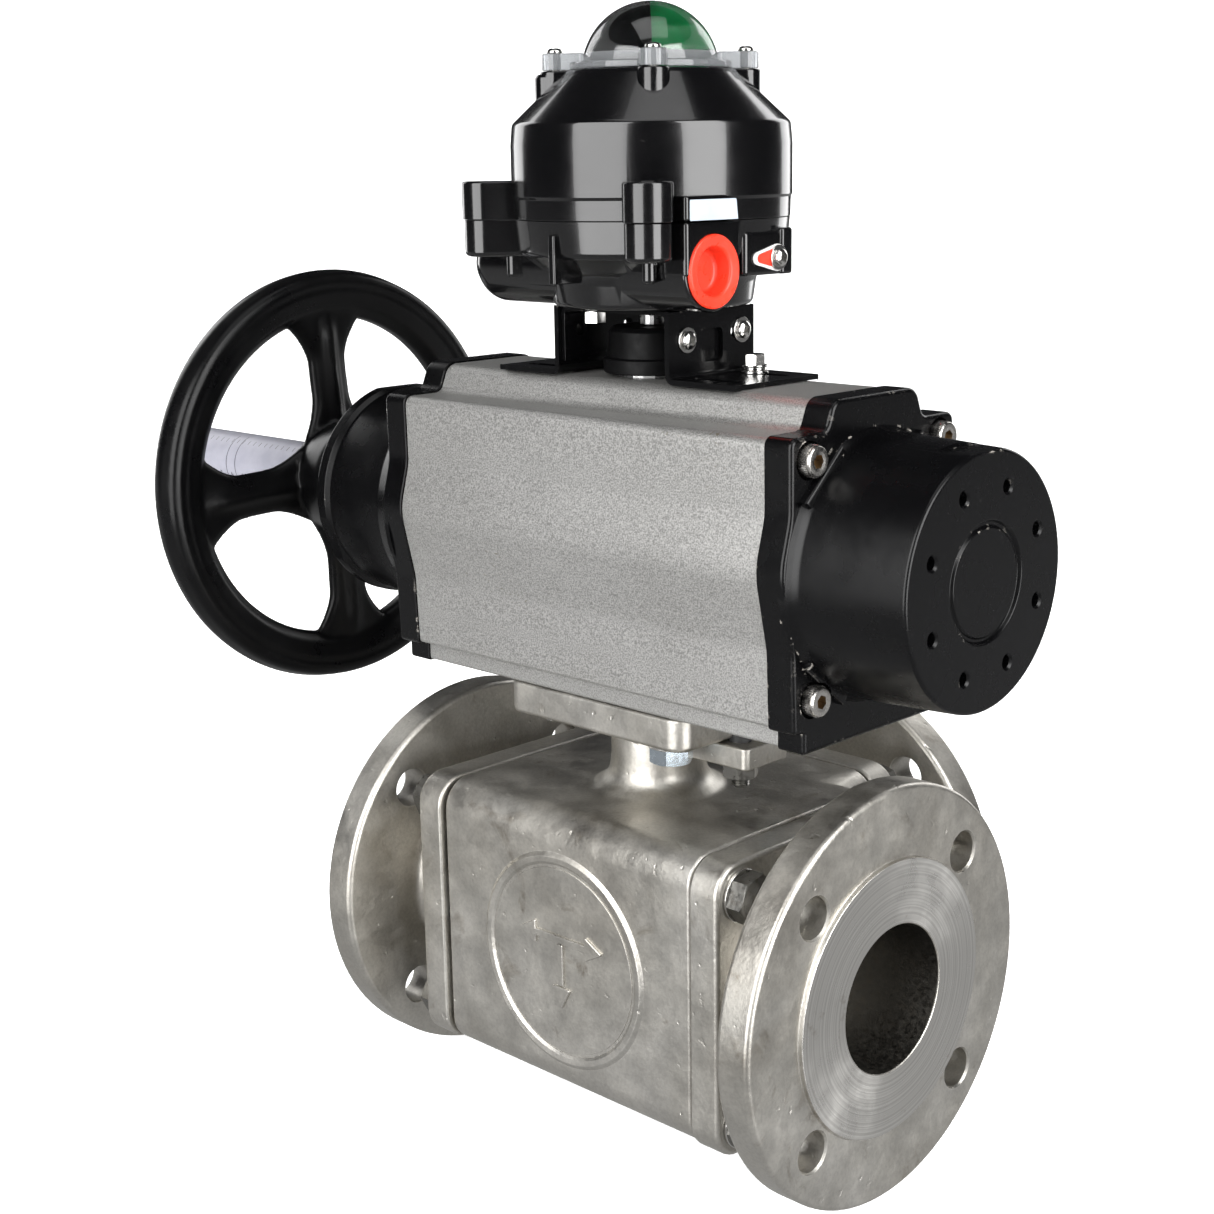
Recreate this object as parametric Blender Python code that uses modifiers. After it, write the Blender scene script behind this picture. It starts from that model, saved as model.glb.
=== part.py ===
"""Pneumatic rack-and-pinion valve actuator with handwheel override and limit-switch box,
bolted on a three-way flanged ball valve. Metres, +Z up. The stem axis is vertical, the run and
the actuator lie along X, and the branch port faces +Y. Every height below is counted from the
flow axis; the parent empty lifts the assembly onto its three flange rims."""

import math

import bmesh
import bpy
from mathutils import Matrix

MM = 0.001
GAP = 0.3 * MM
MERGE = 0.00001
SIDES = 20
RIM_SIDES = 32
HOLE_SIDES = 8
LOBE_STEPS = 5
ARC_STEP = math.radians(14)

# Valve: three DN65 PN16 connectors on a square block
FLANGE_R = 92.5 * MM
FLANGE_THICK = 17 * MM
RAISED_R = 61 * MM
RAISED_HIGH = 2 * MM
BORE_R = 32.5 * MM
HOLE_CIRCLE_R = 72.5 * MM
HOLE_R = 9 * MM
FACE_X = 135 * MM
FACE_REAR = 140 * MM
BLOCK_X = 77 * MM
BLOCK_Y = 64 * MM
BLOCK_Z = 66 * MM
BLOCK_CORNER = 14 * MM
CAVITY_R = 55.5 * MM
PLATE_IN = 78.6 * MM
PLATE_OUT = 94 * MM
CAP_BOLT_AT = 51 * MM
HUB_R = 46 * MM
BALL_R = 54 * MM
SEAT_SPHERE_R = BALL_R + 0.8 * MM
NECK_R = 21.5 * MM
PAD_X = 53.9 * MM
PAD_Y = 43.7 * MM
PAD_LOW = 100.5 * MM
PAD_TOP = 115.2 * MM
PAD_BOLT_X = 36 * MM
PAD_BOLT_Y = 30 * MM
STEM_R = 11 * MM

# Actuator: section heights are counted from its own centre line
ACT_Z = 185.5 * MM
ACT_HALF = 107.3 * MM
ACT_TOP = 68.5 * MM
ACT_BOTTOM = -70 * MM
PISTON_BORE_R = 44 * MM
PLATE_END = 121.5 * MM
CAP_END_RIGHT = 175 * MM
CAP_END_LEFT = 185 * MM
CAP_BASE_R = 54 * MM
CAP_END_R = 52 * MM
SCREW_FLOOR = 117.8 * MM
UPPER_SCREW = (42.7 * MM, 47.5 * MM)
LOWER_SCREW = (39.5 * MM, -48.5 * MM)
TOOTH_MODULE = 3 * MM
PINION_TEETH = 16
ADDENDUM = 0.85 * TOOTH_MODULE
DEDENDUM = 1.15 * TOOTH_MODULE
PINION_PITCH_R = TOOTH_MODULE * PINION_TEETH / 2
BACKLASH = 0.35 * MM
PRESSURE_ANGLE = math.radians(20)
PINION_HALF = 16 * MM
RACK_HALF = 14 * MM
SHAFT_R = 16 * MM
PISTON_IN = 84.5 * MM
PISTON_OUT = 103.5 * MM

# Handwheel and jackscrew, left of the actuator
WHEEL_X = -232 * MM
WHEEL_R = 107 * MM
WHEEL_IN_R = 83 * MM
WHEEL_HALF = 10 * MM
HUB_OUT_R = 29 * MM
SPOKE_TURN = math.radians(3)
SPINDLE_R = 9 * MM
TUBE_R = 14 * MM
TUBE_END = -360 * MM
SLEEVE_R = 15.2 * MM

# Bracket and limit-switch box
TOP_Z = ACT_Z + ACT_TOP
SHEET = 2 * MM
UPRIGHT_X = 32 * MM
UPRIGHT_HALF = 25 * MM
BOX_Z = 284.6 * MM
LUG_LOW = 306 * MM
PARTING = 321.5 * MM
LUG_TOP = 337.5 * MM
SKIRT_TOP = 331 * MM
SHOULDER = 360 * MM
COVER_TOP = 382 * MM
BOX_R = 60 * MM
LUG_AT = 71 * MM
LUG_R = 10.5 * MM
BOSS_AT = 40 * MM
BARREL_Y = -25.5 * MM
BARREL_Z = 301.5 * MM
BARREL_R = 16.5 * MM
BARREL_LEFT = -76 * MM
BARREL_RIGHT = 58 * MM
DOME_R = 29.3 * MM
DOME_Z = 381 * MM

# The assembly's origin is the middle of its box's floor
RIM_FLAT = FLANGE_R * math.cos(math.pi / RIM_SIDES)
ORIGIN_X = -(TUBE_END + CAP_END_RIGHT) / 2
ORIGIN_Y = -(FACE_REAR - WHEEL_R) / 2
ORIGIN_Z = RIM_FLAT

DIAGONALS = [math.radians(45 + 90 * step) for step in range(4)]
BOX_LUGS = [math.radians(turn) for turn in (-135, -48, 95)]
PAD_SPOTS = [(PAD_BOLT_X, PAD_BOLT_Y), (-PAD_BOLT_X, PAD_BOLT_Y), (-PAD_BOLT_X, -PAD_BOLT_Y),
             (PAD_BOLT_X, -PAD_BOLT_Y)]


def clear_scene():
    for item in list(bpy.data.objects):
        bpy.data.objects.remove(item, do_unlink=True)


def make_collection(name):
    collection = bpy.data.collections.new(name)
    bpy.context.scene.collection.children.link(collection)
    return collection


clear_scene()
PARTS = make_collection("valve_actuator")
CUTTERS = make_collection("cutters")


def make_material(name, color, roughness, metallic):
    finish = bpy.data.materials.new(name)
    finish.use_nodes = True
    shader = finish.node_tree.nodes["Principled BSDF"]
    shader.inputs["Base Color"].default_value = (*color, 1)
    shader.inputs["Roughness"].default_value = roughness
    shader.inputs["Metallic"].default_value = metallic
    return finish


FINISHES = {
    "cast_steel": ((0.42, 0.41, 0.38), 0.42, 1.0),
    "ptfe": ((0.85, 0.84, 0.80), 0.5, 0.0),
    "seal": ((0.03, 0.03, 0.03), 0.7, 0.0),
    "polished": ((0.62, 0.61, 0.58), 0.18, 1.0),
    "bolt_steel": ((0.45, 0.45, 0.44), 0.3, 1.0),
    "anodised": ((0.62, 0.62, 0.61), 0.42, 0.9),
    "black_casting": ((0.012, 0.012, 0.013), 0.3, 0.0),
    "black_plastic": ((0.02, 0.02, 0.02), 0.5, 0.0),
    "gear_steel": ((0.35, 0.35, 0.36), 0.35, 1.0),
    "piston_metal": ((0.6, 0.6, 0.6), 0.4, 1.0),
    "white_scale": ((0.8, 0.8, 0.85), 0.4, 0.0),
    "black_sheet": ((0.01, 0.01, 0.01), 0.2, 0.0),
    "clear": ((0.9, 0.95, 0.95), 0.05, 0.0),
    "indicator_green": ((0.0, 0.25, 0.08), 0.3, 0.0),
    "red_plastic": ((0.75, 0.06, 0.02), 0.35, 0.0),
    "switch_body": ((0.1, 0.1, 0.12), 0.5, 0.0),
}


def new_empty(name, parent, location=(0, 0, 0), rotation=(0, 0, 0)):
    empty = bpy.data.objects.new(name, None)
    PARTS.objects.link(empty)
    empty.parent = parent
    empty.location = location
    empty.rotation_euler = rotation
    return empty


QUARTER = math.pi / 2
ROOT = new_empty("assembly", None, (ORIGIN_X, ORIGIN_Y, ORIGIN_Z))
END_FRAMES = {
    "right": new_empty("right_port", ROOT, rotation=(0, QUARTER, 0)),
    "left": new_empty("left_port", ROOT, rotation=(0, -QUARTER, 0)),
    "rear": new_empty("rear_port", ROOT, rotation=(-QUARTER, 0, 0)),
}
ACTUATOR = new_empty("actuator_centre", ROOT, (0, 0, ACT_Z))
RIGHT_SIDE = new_empty("actuator_right", ACTUATOR, rotation=(QUARTER, 0, QUARTER))
LEFT_SIDE = new_empty("actuator_left", ACTUATOR, rotation=(QUARTER, 0, -QUARTER))


def place(name, mesh, finish, parent, location, rotation):
    """One named object: a finish of None makes it a cutter or a body to join."""
    item = bpy.data.objects.new(name, mesh)
    if finish is None:
        CUTTERS.objects.link(item)
        item.hide_render = True
        item.display_type = "WIRE"
    else:
        PARTS.objects.link(item)
        if finish not in bpy.data.materials:
            make_material(finish, *FINISHES[finish])
        mesh.materials.append(bpy.data.materials[finish])
    item.parent = parent
    item.location = location
    item.rotation_euler = rotation
    return item


def finish_mesh(bm, name):
    bmesh.ops.recalc_face_normals(bm, faces=bm.faces)
    mesh = bpy.data.meshes.new(name)
    bm.to_mesh(mesh)
    bm.free()
    mesh.shade_smooth()
    mesh.set_sharp_from_angle(angle=math.radians(30))
    return mesh


def prism(name, outline, low, high, finish=None, parent=ROOT, location=(0, 0, 0), rotation=(0, 0, 0)):
    """A flat outline in local XY, made solid from z low to z high."""
    curve = bpy.data.curves.new(name, "CURVE")
    curve.dimensions = "2D"
    curve.fill_mode = "BOTH"
    curve.extrude = (high - low) / 2
    spline = curve.splines.new("POLY")
    spline.points.add(len(outline) - 1)
    for point, (x, y) in zip(spline.points, outline):
        point.co = (x, y, 0, 1)
    spline.use_cyclic_u = True
    flat = bpy.data.objects.new(name + "_outline", curve)
    CUTTERS.objects.link(flat)
    graph = bpy.context.evaluated_depsgraph_get()
    mesh = bpy.data.meshes.new_from_object(flat.evaluated_get(graph))
    bpy.data.objects.remove(flat, do_unlink=True)
    bm = bmesh.new()
    bm.from_mesh(mesh)
    bmesh.ops.remove_doubles(bm, verts=bm.verts, dist=MERGE)
    bmesh.ops.translate(bm, verts=bm.verts, vec=(0, 0, (low + high) / 2))
    bpy.data.meshes.remove(mesh)
    return place(name, finish_mesh(bm, name), finish, parent, location, rotation)


def cylinder(name, radius, low, high, finish=None, parent=ROOT, location=(0, 0, 0),
             rotation=(0, 0, 0), sides=SIDES, end_radius=None):
    """A cylinder or cone along local Z; its sides straddle the axes, so flats face X and Y."""
    bm = bmesh.new()
    top = radius if end_radius is None else end_radius
    bmesh.ops.create_cone(bm, cap_ends=True, segments=sides, radius1=radius, radius2=top, depth=high - low)
    bmesh.ops.transform(bm, matrix=Matrix.Rotation(math.pi / sides, 4, "Z"), verts=bm.verts)
    bmesh.ops.translate(bm, verts=bm.verts, vec=(0, 0, (low + high) / 2))
    return place(name, finish_mesh(bm, name), finish, parent, location, rotation)


def box(name, low, high, finish=None, parent=ROOT, location=(0, 0, 0), rotation=(0, 0, 0)):
    bm = bmesh.new()
    bmesh.ops.create_cube(bm, size=1)
    size = [b - a for a, b in zip(low, high)]
    middle = [(a + b) / 2 for a, b in zip(low, high)]
    bmesh.ops.scale(bm, verts=bm.verts, vec=size)
    bmesh.ops.translate(bm, verts=bm.verts, vec=middle)
    return place(name, finish_mesh(bm, name), finish, parent, location, rotation)


def turned(name, profile, finish=None, parent=ROOT, location=(0, 0, 0), rotation=(0, 0, 0),
           sides=SIDES, ring=False):
    """A profile of (radius, height) points turned about local Z, run down its outer side."""
    mesh = bpy.data.meshes.new(name)
    points = [(radius, 0, height) for radius, height in profile]
    edges = [(index, index + 1) for index in range(len(points) - 1)]
    if ring:
        edges.append((len(points) - 1, 0))
    mesh.from_pydata(points, edges, [])
    item = place(name, mesh, finish, parent, location, rotation)
    screw = item.modifiers.new("turn", "SCREW")
    screw.axis = "Z"
    screw.steps = sides
    screw.render_steps = sides
    screw.use_merge_vertices = True
    screw.merge_threshold = MERGE
    screw.use_smooth_shade = True
    return item


def tube(name, inner, outer, low, high, finish=None, **where):
    loop = [(outer, high), (outer, low), (inner, low), (inner, high)]
    return turned(name, loop, finish, ring=True, **where)


def combine(target, tool, operation):
    step = target.modifiers.new(operation.lower() + "_" + tool.name, "BOOLEAN")
    step.operation = operation
    step.solver = "EXACT"
    step.object = tool


def join(target, *tools):
    for tool in tools:
        combine(target, tool, "UNION")


def cut(target, *tools):
    for tool in tools:
        combine(target, tool, "DIFFERENCE")


def rounded_outline(corners, steps=3):
    """A closed outline from (x, y, radius) corners, each rounded by an arc of short straights."""
    outline = []
    count = len(corners)
    for index, (x, y, radius) in enumerate(corners):
        before = corners[index - 1]
        after = corners[(index + 1) % count]
        to_before = math.atan2(before[1] - y, before[0] - x)
        to_after = math.atan2(after[1] - y, after[0] - x)
        opening = (to_after - to_before) % (2 * math.pi)
        side = 1 if opening < math.pi else -1
        half = opening / 2 if side > 0 else math.pi - opening / 2
        if radius == 0:
            outline.append((x, y))
            continue
        reach = radius / math.sin(half)
        middle = to_before + side * half
        centre = (x + reach * math.cos(middle), y + reach * math.sin(middle))
        start = to_before - side * math.pi / 2
        sweep = side * (math.pi - 2 * half)
        for step in range(steps + 1):
            angle = start - sweep * step / steps
            outline.append((centre[0] + radius * math.cos(angle), centre[1] + radius * math.sin(angle)))
    return outline


def rounded_rectangle(half_x, half_y, radius, steps=3):
    corners = [(half_x, -half_y), (half_x, half_y), (-half_x, half_y), (-half_x, -half_y)]
    return rounded_outline([(x, y, radius) for x, y in corners], steps)


def around(radius, angle):
    return (radius * math.cos(angle), radius * math.sin(angle))


def hexagon(across_flats):
    corner = across_flats / math.sqrt(3)
    return [around(corner, math.radians(60 * step)) for step in range(6)]


def make_bolt(name, finish, parent, location, head_wide, head_high, shank_r, shank_long, rotation=(0, 0, 0)):
    """A hexagon bolt: the head stands on z = 0 and the shank goes down."""
    head = prism(name, hexagon(head_wide), 0, head_high, finish, parent, location, rotation)
    shank = cylinder(name + "_shank", shank_r, -shank_long, 1 * MM, None, parent, location, rotation,
                     sides=HOLE_SIDES)
    join(head, shank)
    return head


# ---------------------------------------------------------------- valve

def make_end_connector(side, face):
    """Plate, neck and flange along the port's own +Z, with a register that holds the seat."""
    frame = END_FRAMES[side]
    back = face - RAISED_HIGH - FLANGE_THICK
    plate = rounded_rectangle(BLOCK_Z, BLOCK_Z, BLOCK_CORNER)
    part = prism("end_connector_" + side, plate, PLATE_IN, PLATE_OUT, "cast_steel", frame)
    neck = [(0, back + 1 * MM), (HUB_R + 4 * MM, back + 1 * MM), (HUB_R, back - 6 * MM),
            (HUB_R, PLATE_OUT + 4 * MM), (HUB_R + 3 * MM, PLATE_OUT - 1 * MM), (0, PLATE_OUT - 1 * MM)]
    flange = [(0, face), (RAISED_R, face), (RAISED_R, face - RAISED_HIGH), (FLANGE_R, face - RAISED_HIGH),
              (FLANGE_R, back), (0, back)]
    wall = CAVITY_R - 1.2 * MM
    nose = 39.6 * MM
    register = [(0, PLATE_IN + 1 * MM), (wall, PLATE_IN + 1 * MM), (wall, wall + 0.6 * MM),
                (nose, nose + 0.6 * MM), (0, nose + 0.6 * MM)]
    half_turn = (0, 0, math.pi / RIM_SIDES)
    disc = turned("flange_" + side, flange, None, frame, rotation=half_turn, sides=RIM_SIDES)
    join(part, turned("neck_" + side, neck, None, frame))
    join(part, disc)
    join(part, turned("register_" + side, register, None, frame))
    cut(part, cylinder("bore_" + side, BORE_R, 30 * MM, face + 1 * MM, None, frame))
    cut(part, cylinder("pocket_" + side, 38.2 * MM, 30 * MM, 49.3 * MM, None, frame))
    for index, angle in enumerate(DIAGONALS):
        spot = (*around(HOLE_CIRCLE_R, angle), 0)
        hole = cylinder("flange_hole_" + side + str(index), HOLE_R, back - 1 * MM, face, None, frame, spot,
                        sides=12)
        cut(part, hole)
        hold = cylinder("bolt_way_" + side + str(index), 6.4 * MM, PLATE_IN - 1 * MM, PLATE_OUT + 1 * MM,
                        None, frame, corner_spot(index), sides=HOLE_SIDES)
        cut(part, hold)
    return part


def corner_spot(index):
    reach = CAP_BOLT_AT * math.sqrt(2)
    return (*around(reach, DIAGONALS[index]), 0)


def make_end_trim(side):
    """Body gasket and seat ring of one end connector, and the bolts of the right one."""
    frame = END_FRAMES[side]
    tube("gasket_" + side, CAVITY_R + 1 * MM, BLOCK_Y - 1.5 * MM, BLOCK_X + GAP, PLATE_IN - GAP, "seal",
         parent=frame)
    if side == "right":
        for index in range(4):
            x, y, _ = corner_spot(index)
            make_bolt("connector_bolt_" + str(index + 1), "bolt_steel", frame,
                      (x, y, PLATE_OUT + GAP), 19 * MM, 7.5 * MM, 6 * MM, 30 * MM)
    seat_radii = [33 * MM, 34.4 * MM, 35.8 * MM, 37.3 * MM]
    face = [(radius, math.sqrt(SEAT_SPHERE_R ** 2 - radius ** 2)) for radius in seat_radii]
    loop = [(seat_radii[-1], 49 * MM)] + list(reversed(face)) + [(seat_radii[0], 49 * MM)]
    turned("seat_" + side, loop, "ptfe", frame, ring=True)


def make_valve_body():
    run = rounded_rectangle(BLOCK_Z, BLOCK_Y, BLOCK_CORNER)
    body = prism("valve_body", run, -BLOCK_X, BLOCK_X, "cast_steel", END_FRAMES["right"])
    branch = rounded_rectangle(BLOCK_X - 11 * MM, BLOCK_Z, BLOCK_CORNER)
    join(body, prism("branch_block", branch, 0, BLOCK_X, None, END_FRAMES["rear"]))
    foot = BLOCK_Z - 2 * MM
    neck = [(0, PAD_LOW + 1 * MM), (NECK_R, PAD_LOW + 1 * MM), (NECK_R, foot + 14 * MM),
            (NECK_R + 4 * MM, foot + 7 * MM), (NECK_R + 13 * MM, foot + 2 * MM), (NECK_R + 13 * MM, foot),
            (0, foot)]
    join(body, turned("neck", neck))
    pad = rounded_rectangle(PAD_X, PAD_Y, 9 * MM)
    join(body, prism("pad", pad, PAD_LOW, PAD_TOP))
    lug = rounded_outline([(30 * MM, -15 * MM, 0), (66 * MM, -15 * MM, 4 * MM), (66 * MM, 34 * MM, 4 * MM),
                           (30 * MM, 34 * MM, 0)])
    join(body, prism("stop_lug", lug, 89 * MM, PAD_LOW - 1.5 * MM))
    join(body, box("lug_post", (30 * MM, -14 * MM, 90 * MM), (46 * MM, 32 * MM, PAD_LOW + 1 * MM)))
    cut(body, cylinder("bolt_head_way", 10.8 * MM, 86 * MM, PAD_LOW - 0.2 * MM, None, ROOT,
                       (PAD_BOLT_X, PAD_BOLT_Y, 0)))
    ring = [(49 * MM, 65.3 * MM), (49 * MM, 63 * MM), (45.5 * MM, 63 * MM), (45.5 * MM, 65.3 * MM)]
    join(body, turned("cast_ring", ring, rotation=(QUARTER, 0, 0), sides=RIM_SIDES, ring=True))
    cut(body, cylinder("run_cavity", CAVITY_R, -90 * MM, 90 * MM, None, END_FRAMES["right"]))
    cut(body, cylinder("branch_cavity", CAVITY_R - 0.2 * MM, 0.3 * MM, 90 * MM, None, END_FRAMES["rear"]))
    cut(body, cylinder("stem_way", STEM_R + 0.5 * MM, 40 * MM, PAD_TOP + 1 * MM))
    cut(body, cylinder("packing_way", 17 * MM, 84 * MM, PAD_TOP + 1 * MM))
    for side in END_FRAMES:
        for index in range(4):
            x, y, _ = corner_spot(index)
            tap = cylinder("tap_" + side + str(index), 6.4 * MM, 62 * MM, 90 * MM, None, END_FRAMES[side],
                           (x, y, 0), sides=HOLE_SIDES)
            cut(body, tap)
    for index, (x, y) in enumerate(PAD_SPOTS):
        cut(body, cylinder("pad_hole_" + str(index), 5.5 * MM, 80 * MM, PAD_TOP + 1 * MM, None, ROOT,
                           (x, y, 0), sides=HOLE_SIDES))


def make_pad_bolts():
    """Three hexagon bolts from below, and a headless stud at the front left corner."""
    for index, (x, y) in enumerate(PAD_SPOTS):
        name = "pad_bolt_" + str(index + 1)
        if index == 2:
            cylinder(name, 5 * MM, PAD_LOW - 4 * MM, PAD_LOW + 23.5 * MM, "bolt_steel", ROOT, (x, y, 0),
                     sides=HOLE_SIDES)
        else:
            make_bolt(name, "bolt_steel", ROOT, (x, y, PAD_LOW - 0.5 * MM), 17 * MM, 6.4 * MM, 5 * MM,
                      24 * MM, rotation=(math.pi, 0, 0))


def make_ball_and_stem():
    bm = bmesh.new()
    bmesh.ops.create_uvsphere(bm, u_segments=24, v_segments=12, radius=BALL_R)
    ball = place("ball", finish_mesh(bm, "ball"), "polished", ROOT, (0, 0, 0), (0, 0, 0))
    cut(ball, cylinder("ball_run", BORE_R, -60 * MM, 60 * MM, None, END_FRAMES["right"]))
    cut(ball, cylinder("ball_branch", BORE_R - 0.3 * MM, 0.2 * MM, 60 * MM, None, END_FRAMES["rear"]))
    slot_low = 46 * MM
    cut(ball, box("ball_slot", (-16 * MM, -6 * MM, slot_low), (16 * MM, 6 * MM, 60 * MM)))
    shaft = cylinder("stem", STEM_R, 55 * MM, 117 * MM, "bolt_steel", sides=16)
    tang = box("stem_tang", (-9.4 * MM, -5.6 * MM, slot_low + GAP), (9.4 * MM, 5.6 * MM, 56 * MM))
    join(shaft, tang)
    join(shaft, box("stem_square", (-7 * MM, -7 * MM, 116 * MM), (7 * MM, 7 * MM, 131 * MM)))
    tube("stem_packing", STEM_R + GAP, 16.7 * MM, 84.3 * MM, 97 * MM, "ptfe")
    tube("gland_nut", STEM_R + GAP, 16.7 * MM, 97.3 * MM, 108 * MM, "bolt_steel")


# ---------------------------------------------------------------- actuator

def actuator_section(grow=0.0):
    """The extrusion's section in local XY: raised top, shelves, bulged sides, stepped foot."""
    half = [(26, 68.5, 7), (31, 56, 5), (52.5, 56, 4), (52.2, 25, 25), (58, 4, 30), (50.8, -28, 25),
            (49.6, -60.5, 2), (43.6, -61, 0), (43.6, -70, 1.5)]
    right = [(x * MM + grow, y * MM + math.copysign(grow, y), r * MM) for x, y, r in half]
    left = [(-x, y, r) for x, y, r in reversed(right)]
    return rounded_outline(list(reversed(right + left)), 2)


def make_actuator_body():
    body = prism("actuator_body", actuator_section(), -ACT_HALF, ACT_HALF, "anodised", RIGHT_SIDE)
    cut(body, cylinder("piston_bore", PISTON_BORE_R, -120 * MM, 120 * MM, None, RIGHT_SIDE, sides=RIM_SIDES))
    cut(body, cylinder("pinion_way", 20 * MM, -90 * MM, 90 * MM, None, ACTUATOR))
    for index in range(4):
        x, y = screw_spot(index)
        cut(body, cylinder("screw_way_" + str(index), 4.4 * MM, -120 * MM, 120 * MM, None, RIGHT_SIDE,
                           (x, y, 0), sides=HOLE_SIDES))
    for index, (x, y) in enumerate(PAD_SPOTS):
        cut(body, cylinder("foot_tap_" + str(index), 5.3 * MM, ACT_BOTTOM - 1 * MM, ACT_BOTTOM + 12 * MM,
                           None, ACTUATOR, (x, y, 0), sides=HOLE_SIDES))
    for x_sign in (-1, 1):
        for y_sign in (-1, 1):
            spot = (x_sign * 40 * MM, y_sign * 15 * MM, 0)
            cut(body, cylinder("top_tap" + str(x_sign) + str(y_sign), 2.8 * MM, ACT_TOP - 9 * MM,
                               ACT_TOP + 1 * MM, None, ACTUATOR, spot, sides=HOLE_SIDES))


def screw_spot(index):
    side = 1 if index in (0, 3) else -1
    across, high = UPPER_SCREW if index < 2 else LOWER_SCREW
    return (side * across, high)


def make_end_cap(name, frame, end):
    """A casting: section-shaped plate and a round housing, hollow towards the pistons."""
    start = ACT_HALF + GAP
    cap = prism(name, actuator_section(0.5 * MM), start, PLATE_END, "black_casting", frame)
    housing = [(0, end), (CAP_END_R - 1.5 * MM, end), (CAP_END_R, end - 1.5 * MM),
               (CAP_BASE_R, PLATE_END), (CAP_BASE_R, PLATE_END - 2 * MM), (0, PLATE_END - 2 * MM)]
    join(cap, turned(name + "_housing", housing, None, frame, sides=RIM_SIDES))
    for index in range(4):
        x, y = screw_spot(index)
        low = start - 1 * MM
        cut(cap, cylinder(name + "_hole" + str(index), 4.4 * MM, low, PLATE_END + 1 * MM, None, frame,
                          (x, y, 0), sides=HOLE_SIDES))
        cut(cap, cylinder(name + "_seat" + str(index), 7.6 * MM, SCREW_FLOOR, PLATE_END + 5 * MM, None,
                          frame, (x, y, 0), sides=16))
        make_socket_screw(name + "_screw_" + str(index + 1), frame, (x, y, SCREW_FLOOR + GAP))
    cut(cap, cylinder(name + "_hollow", PISTON_BORE_R, start - 1 * MM, end - 10 * MM, None, frame,
                      sides=RIM_SIDES))
    return cap


def make_socket_screw(name, frame, location):
    screw = cylinder(name, 6.5 * MM, 0, 8 * MM, "bolt_steel", frame, location, sides=12)
    join(screw, cylinder(name + "_shank", 4 * MM, -30 * MM, 1 * MM, None, frame, location, sides=HOLE_SIDES))
    cut(screw, prism(name + "_socket", hexagon(6 * MM), 4 * MM, 9 * MM, None, frame, location))


def make_end_caps():
    right = make_end_cap("end_cap_right", RIGHT_SIDE, CAP_END_RIGHT)
    cut(right, cylinder("end_recess", 24.4 * MM, CAP_END_RIGHT - 1 * MM, CAP_END_RIGHT + 1 * MM, None,
                        RIGHT_SIDE))
    for index in range(8):
        spot = (*around(38.4 * MM, math.radians(25 + 45 * index)), 0)
        cut(right, cylinder("face_hole_" + str(index), 2.6 * MM, CAP_END_RIGHT - 6 * MM,
                            CAP_END_RIGHT + 1 * MM, None, RIGHT_SIDE, spot, sides=8))
    left = make_end_cap("end_cap_left", LEFT_SIDE, CAP_END_LEFT)
    cut(left, cylinder("spindle_way", 22 * MM, 160 * MM, 200 * MM, None, LEFT_SIDE))


def involute(base, radius):
    return math.sqrt((radius / base) ** 2 - 1) - math.acos(base / radius)


def pinion_outline():
    """Involute teeth: each flank is read at three radii, and each root is a straight."""
    base = PINION_PITCH_R * math.cos(PRESSURE_ANGLE)
    tip = PINION_PITCH_R + ADDENDUM
    root = PINION_PITCH_R - DEDENDUM
    at_pitch = involute(base, PINION_PITCH_R)
    half_tooth = math.pi / 2 / PINION_TEETH - BACKLASH / 2 / PINION_PITCH_R
    flank = []
    for step in range(3):
        radius = base + (tip - base) * step / 2
        flank.append((radius, half_tooth + at_pitch - involute(base, radius)))
    outline = []
    for tooth in range(PINION_TEETH):
        # a gap, not a tooth, faces each rack's own tooth at rest
        middle = -QUARTER + 2 * math.pi * (tooth + 0.5) / PINION_TEETH
        outline.append(around(root, middle - flank[0][1]))
        outline += [around(radius, middle - spread) for radius, spread in flank]
        outline += [around(radius, middle + spread) for radius, spread in reversed(flank)]
        outline.append(around(root, middle + flank[0][1]))
    return outline


def make_pinion():
    pinion = prism("pinion", pinion_outline(), -PINION_HALF, PINION_HALF, "gear_steel", ACTUATOR)
    low = ACT_BOTTOM + 1.5 * MM
    join(pinion, cylinder("pinion_shaft", SHAFT_R, low, ACT_TOP + 1 * MM, None, ACTUATOR))
    join(pinion, cylinder("pinion_top", 8 * MM, ACT_TOP, ACT_TOP + 14 * MM, None, ACTUATOR, sides=16))
    cut(pinion, box("pinion_socket", (-7.4 * MM, -7.4 * MM, ACT_BOTTOM - 5 * MM),
                    (7.4 * MM, 7.4 * MM, ACT_BOTTOM + 17 * MM), None, ACTUATOR))
    for name, end in (("pinion_bearing_top", ACT_TOP), ("pinion_bearing_bottom", ACT_BOTTOM)):
        inner = end - math.copysign(13 * MM, end)
        outer = end - math.copysign(1 * MM, end)
        tube(name, SHAFT_R + 0.4 * MM, 19.6 * MM, min(inner, outer), max(inner, outer), "ptfe",
             parent=ACTUATOR)


def rack_outline(start, end, back):
    """Rack teeth on the low side: x along the rack, y away from the pinion."""
    pitch = math.pi * TOOTH_MODULE
    line = PINION_PITCH_R
    lean = math.tan(PRESSURE_ANGLE)
    half = pitch / 4 - BACKLASH / 2
    outline = [(end, back), (start, back)]
    root = line + DEDENDUM
    tip = line - ADDENDUM
    outline.append((start, root))
    first = math.ceil((start + half + 2 * MM) / pitch)
    last = math.floor((end - half - 1 * MM) / pitch)
    for tooth in range(first, last + 1):
        middle = tooth * pitch
        wide = half + (root - line) * lean
        slim = half - (line - tip) * lean
        outline += [(middle - wide, root), (middle - slim, tip), (middle + slim, tip), (middle + wide, root)]
    outline.append((end, root))
    return outline


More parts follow.
